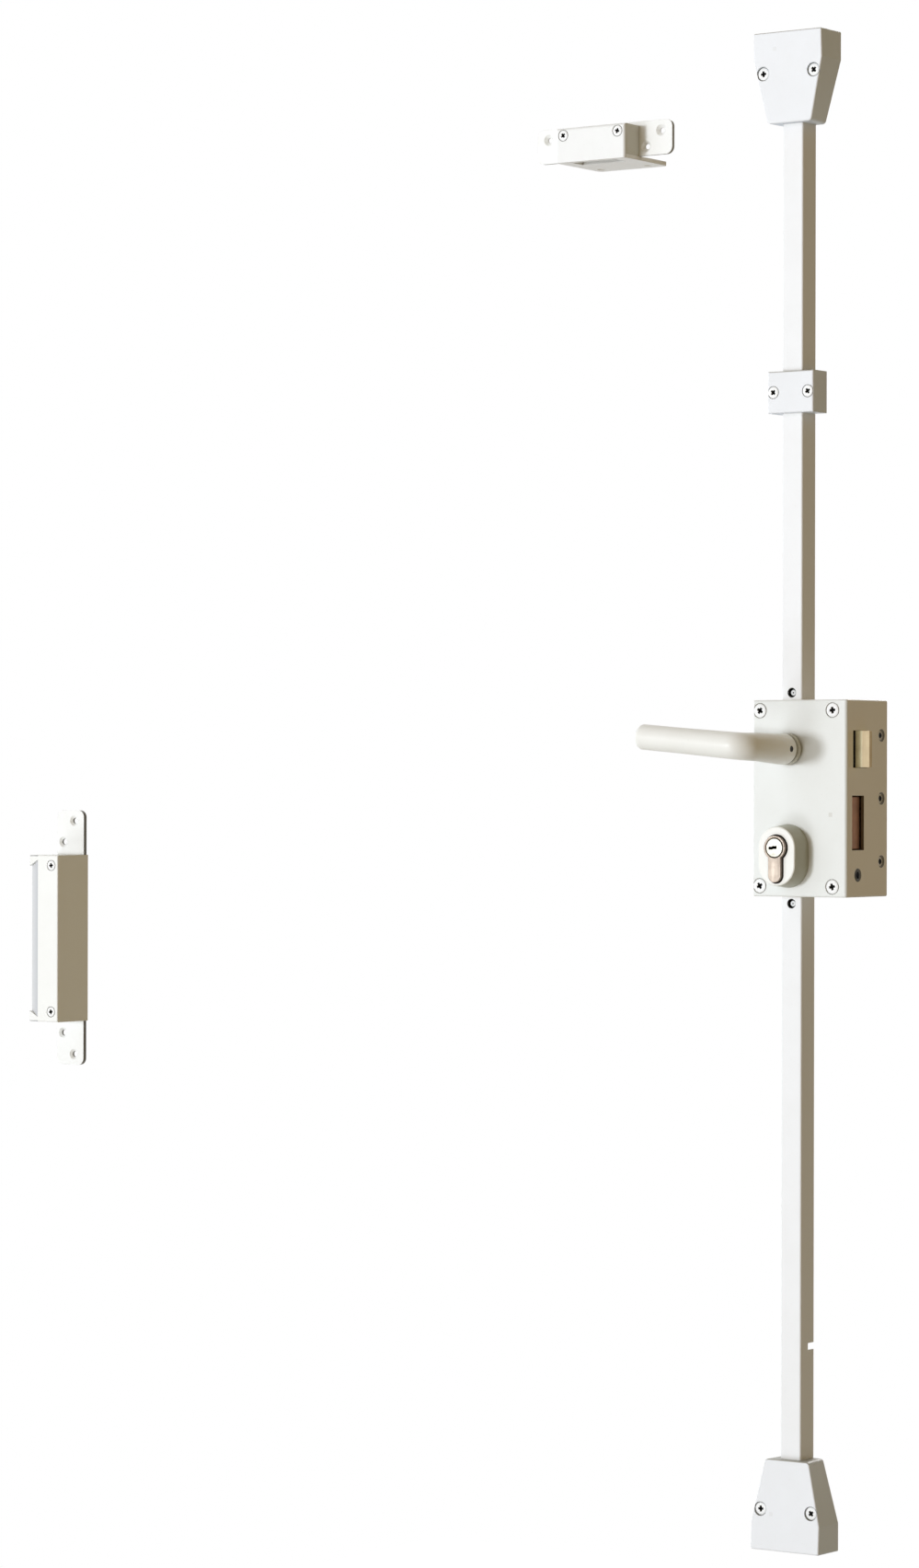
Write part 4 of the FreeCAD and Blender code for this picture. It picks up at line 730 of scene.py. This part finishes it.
def lever_sections():
    """Neck out of the rose, a round elbow and a straight grip with a rounded flat tip.

    Each section has its centre, the way it looks, its radius and how much of the lift and tilt it has."""
    start_y = lever_high.y
    grip_y = lever_low.y + lever_grip
    bend_y = grip_y + lever_bend
    collar_y = start_y - lever_collar
    sections = [
        (Vector((0, start_y, 0)), TO_ROOM, lever_neck - lever_collar_round, 0),
        (Vector((0, start_y - lever_collar_rise, 0)), TO_ROOM, lever_neck, 0),
        (Vector((0, collar_y, 0)), TO_ROOM, lever_neck, 0),
    ]
    for step in range(1, neck_steps + 1):
        part = step / neck_steps
        radius = lever_neck + (lever_throat - lever_neck) * part
        share = part * part * (3 - 2 * part)
        sections.append((Vector((0, collar_y - (collar_y - bend_y) * part, 0)), TO_ROOM, radius, share))
    centre = Vector((-lever_bend, bend_y, 0))
    for step in range(1, bend_steps + 1):
        turn = math.pi / 2 * step / bend_steps
        place = centre + Vector((lever_bend * math.cos(turn), -lever_bend * math.sin(turn), 0))
        heading = Vector((-math.sin(turn), -math.cos(turn), 0))
        radius = lever_throat + (lever_grip + lever_swell - lever_throat) * step / bend_steps
        sections.append((place, heading, radius, 1))
    run = lever_reach - lever_bend - lever_tip_round
    for step in range(1, grip_steps + 1):
        x = -lever_bend - run * step / grip_steps
        swell = lever_swell * max(0, 1 - step / swell_steps)
        sections.append((Vector((x, grip_y, 0)), TO_LEVER_TIP, lever_grip + swell, 1))
    for step in range(1, tip_steps + 1):
        turn = math.pi / 2 * step / tip_steps
        x = -lever_bend - run - lever_tip_round * math.sin(turn)
        radius = lever_grip - lever_tip_round * (1 - math.cos(turn))
        sections.append((Vector((x, grip_y, 0)), TO_LEVER_TIP, radius, 1))
    return sections


def make_lever():
    build = bmesh.new()
    previous = None
    for place, heading, radius, share in lever_sections():
        tilt = Matrix.Translation((lever_axis.x, 0, lever_axis.z + lever_lift * share))
        tilt = tilt @ Matrix.Rotation(lever_tilt * share, 4, "Y")
        across = heading.cross(UP)
        outward = [across * math.cos(angle) + UP * math.sin(angle) for angle in around(lever_sides)]
        current = ring(build, [tilt @ (place + way * radius) for way in outward])
        if previous is None:
            build.faces.new(current)
        else:
            bridge(build, previous, current)
        previous = current
    build.faces.new(previous)
    piece("lever_grip", mesh_of(build, "lever_grip"), [handle_coat], "lever_handle")


# Grub screw: its face shows on the lever's neck, with a round socket
grub_face = 11.12 * MM
grub_length = 3.2 * MM
grub_depth = 0.04 * MM
grub_past_hole = 0.2 * MM
socket_sides = 12
grub_sides = 36


def make_grub_screw():
    low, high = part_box("lever_grub_screw")
    radius = (high.y - low.y) / 2 + grub_past_hole
    middle = (low + high) / 2
    pose = aim(Vector((lever_axis.x + grub_face, middle.y, middle.z)), TO_EDGE)
    build = bmesh.new()
    mouth = circle(build, pose, 0.74 * radius, 0, socket_sides)
    rim = circle(build, pose, 0.9 * radius, 0, grub_sides)
    shoulder = circle(build, pose, radius, -0.1 * radius, grub_sides)
    foot = circle(build, pose, radius, -grub_length, grub_sides)
    fill_between(build, rim, mouth)
    bridge(build, rim, shoulder)
    bridge(build, shoulder, foot)
    build.faces.new(foot)
    floor = circle(build, pose, 0.70 * radius, -grub_depth, socket_sides)
    bridge(build, mouth, floor, RECESS)
    build.faces.new(floor).material_index = RECESS
    piece("grub_screw", mesh_of(build, "grub_screw"), [dark_steel, recess_shade_black], "lever_grub_screw")


def make_latch_spring():
    mesh = nodes["latch_spring"].data.copy()
    mesh.transform(nodes["latch_spring"].matrix_world)
    mesh.materials.clear()
    made = piece("latch_spring_coil", mesh, [wire_steel], "latch_spring")
    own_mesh(made)


# Stage, light and world
floor_z = -0.80
floor_size = 2.4
floor_colour = (0.50, 0.48, 0.42, 1)
floor_glow = 0.82
pure_white = (1, 1, 1, 1)
sky_left = (0.60, 0.62, 0.64, 1)
sky_middle = (0.96, 0.97, 0.98, 1)
sky_right = (0.25, 0.18, 0.08, 1)
daylight = (0.95, 1.0, 1.06)


def make_floor():
    mesh = bpy.data.meshes.new("floor")
    half = floor_size / 2
    corners = [(-half, -half, floor_z), (half, -half, floor_z), (half, half, floor_z), (-half, half, floor_z)]
    mesh.from_pydata(corners, [], [(0, 1, 2, 3)])
    floor = bpy.data.objects.new("floor", mesh)
    bpy.context.scene.collection.objects.link(floor)
    material = bpy.data.materials.new("floor_white")
    material.use_nodes = True
    tree = Tree(material)
    diffuse = tree.add("ShaderNodeBsdfDiffuse", {"Color": floor_colour})
    glow = tree.add("ShaderNodeEmission", {"Color": pure_white, "Strength": floor_glow})
    lit = tree.add("ShaderNodeAddShader", {0: diffuse.outputs[0], 1: glow.outputs[0]})
    mixed = tree.add("ShaderNodeMixShader", {0: tree.seen(), 1: diffuse.outputs[0], 2: lit.outputs[0]})
    tree.add("ShaderNodeOutputMaterial", {"Surface": mixed.outputs[0]})
    mesh.materials.append(material)
    floor.visible_shadow = False


def make_world():
    """Light from all round, whose colour goes with X: grey from the left, white short of the middle,
    dim brown from the right. The camera and mirrors see plain white."""
    world = bpy.data.worlds.new("studio")
    world.use_nodes = True
    bpy.context.scene.world = world
    tree = Tree(world)
    across = tree.split(tree.add("ShaderNodeTexCoord").outputs["Generated"])["X"]
    from_left = tree.mix(tree.ramp(across, -1.0, -0.45), sky_left, sky_middle)
    sky = tree.mix(tree.ramp(across, -0.42, 0.18), from_left, sky_right)
    colour = tree.mix(tree.seen(), sky, pure_white)
    ground = tree.add("ShaderNodeBackground", {"Color": colour, "Strength": 1.0})
    tree.add("ShaderNodeOutputWorld", {"Surface": ground.outputs[0]})


def make_sun(name, towards, strength, spread, colour=(1, 1, 1)):
    data = bpy.data.lights.new(name, "SUN")
    data.energy = strength
    data.angle = math.radians(spread)
    data.color = colour
    sun = bpy.data.objects.new(name, data)
    sun.rotation_mode = "QUATERNION"
    sun.rotation_quaternion = Vector((0, 0, -1)).rotation_difference(Vector(towards).normalized())
    bpy.context.scene.collection.objects.link(sun)


set_camera()
make_world()
make_sun("key", (0.36, 1.0, -0.02), 1.30, 9, daylight)
make_sun("low", (0.30, 0.80, 0.50), 0.60, 25, daylight)
make_sun("back", (0.25, -1.0, -0.35), 0.9, 20)
make_floor()
dress_nodes()
make_screws()
make_lever()
make_grub_screw()
make_latch_spring()

bpy.context.scene.view_settings.view_transform = "Standard"
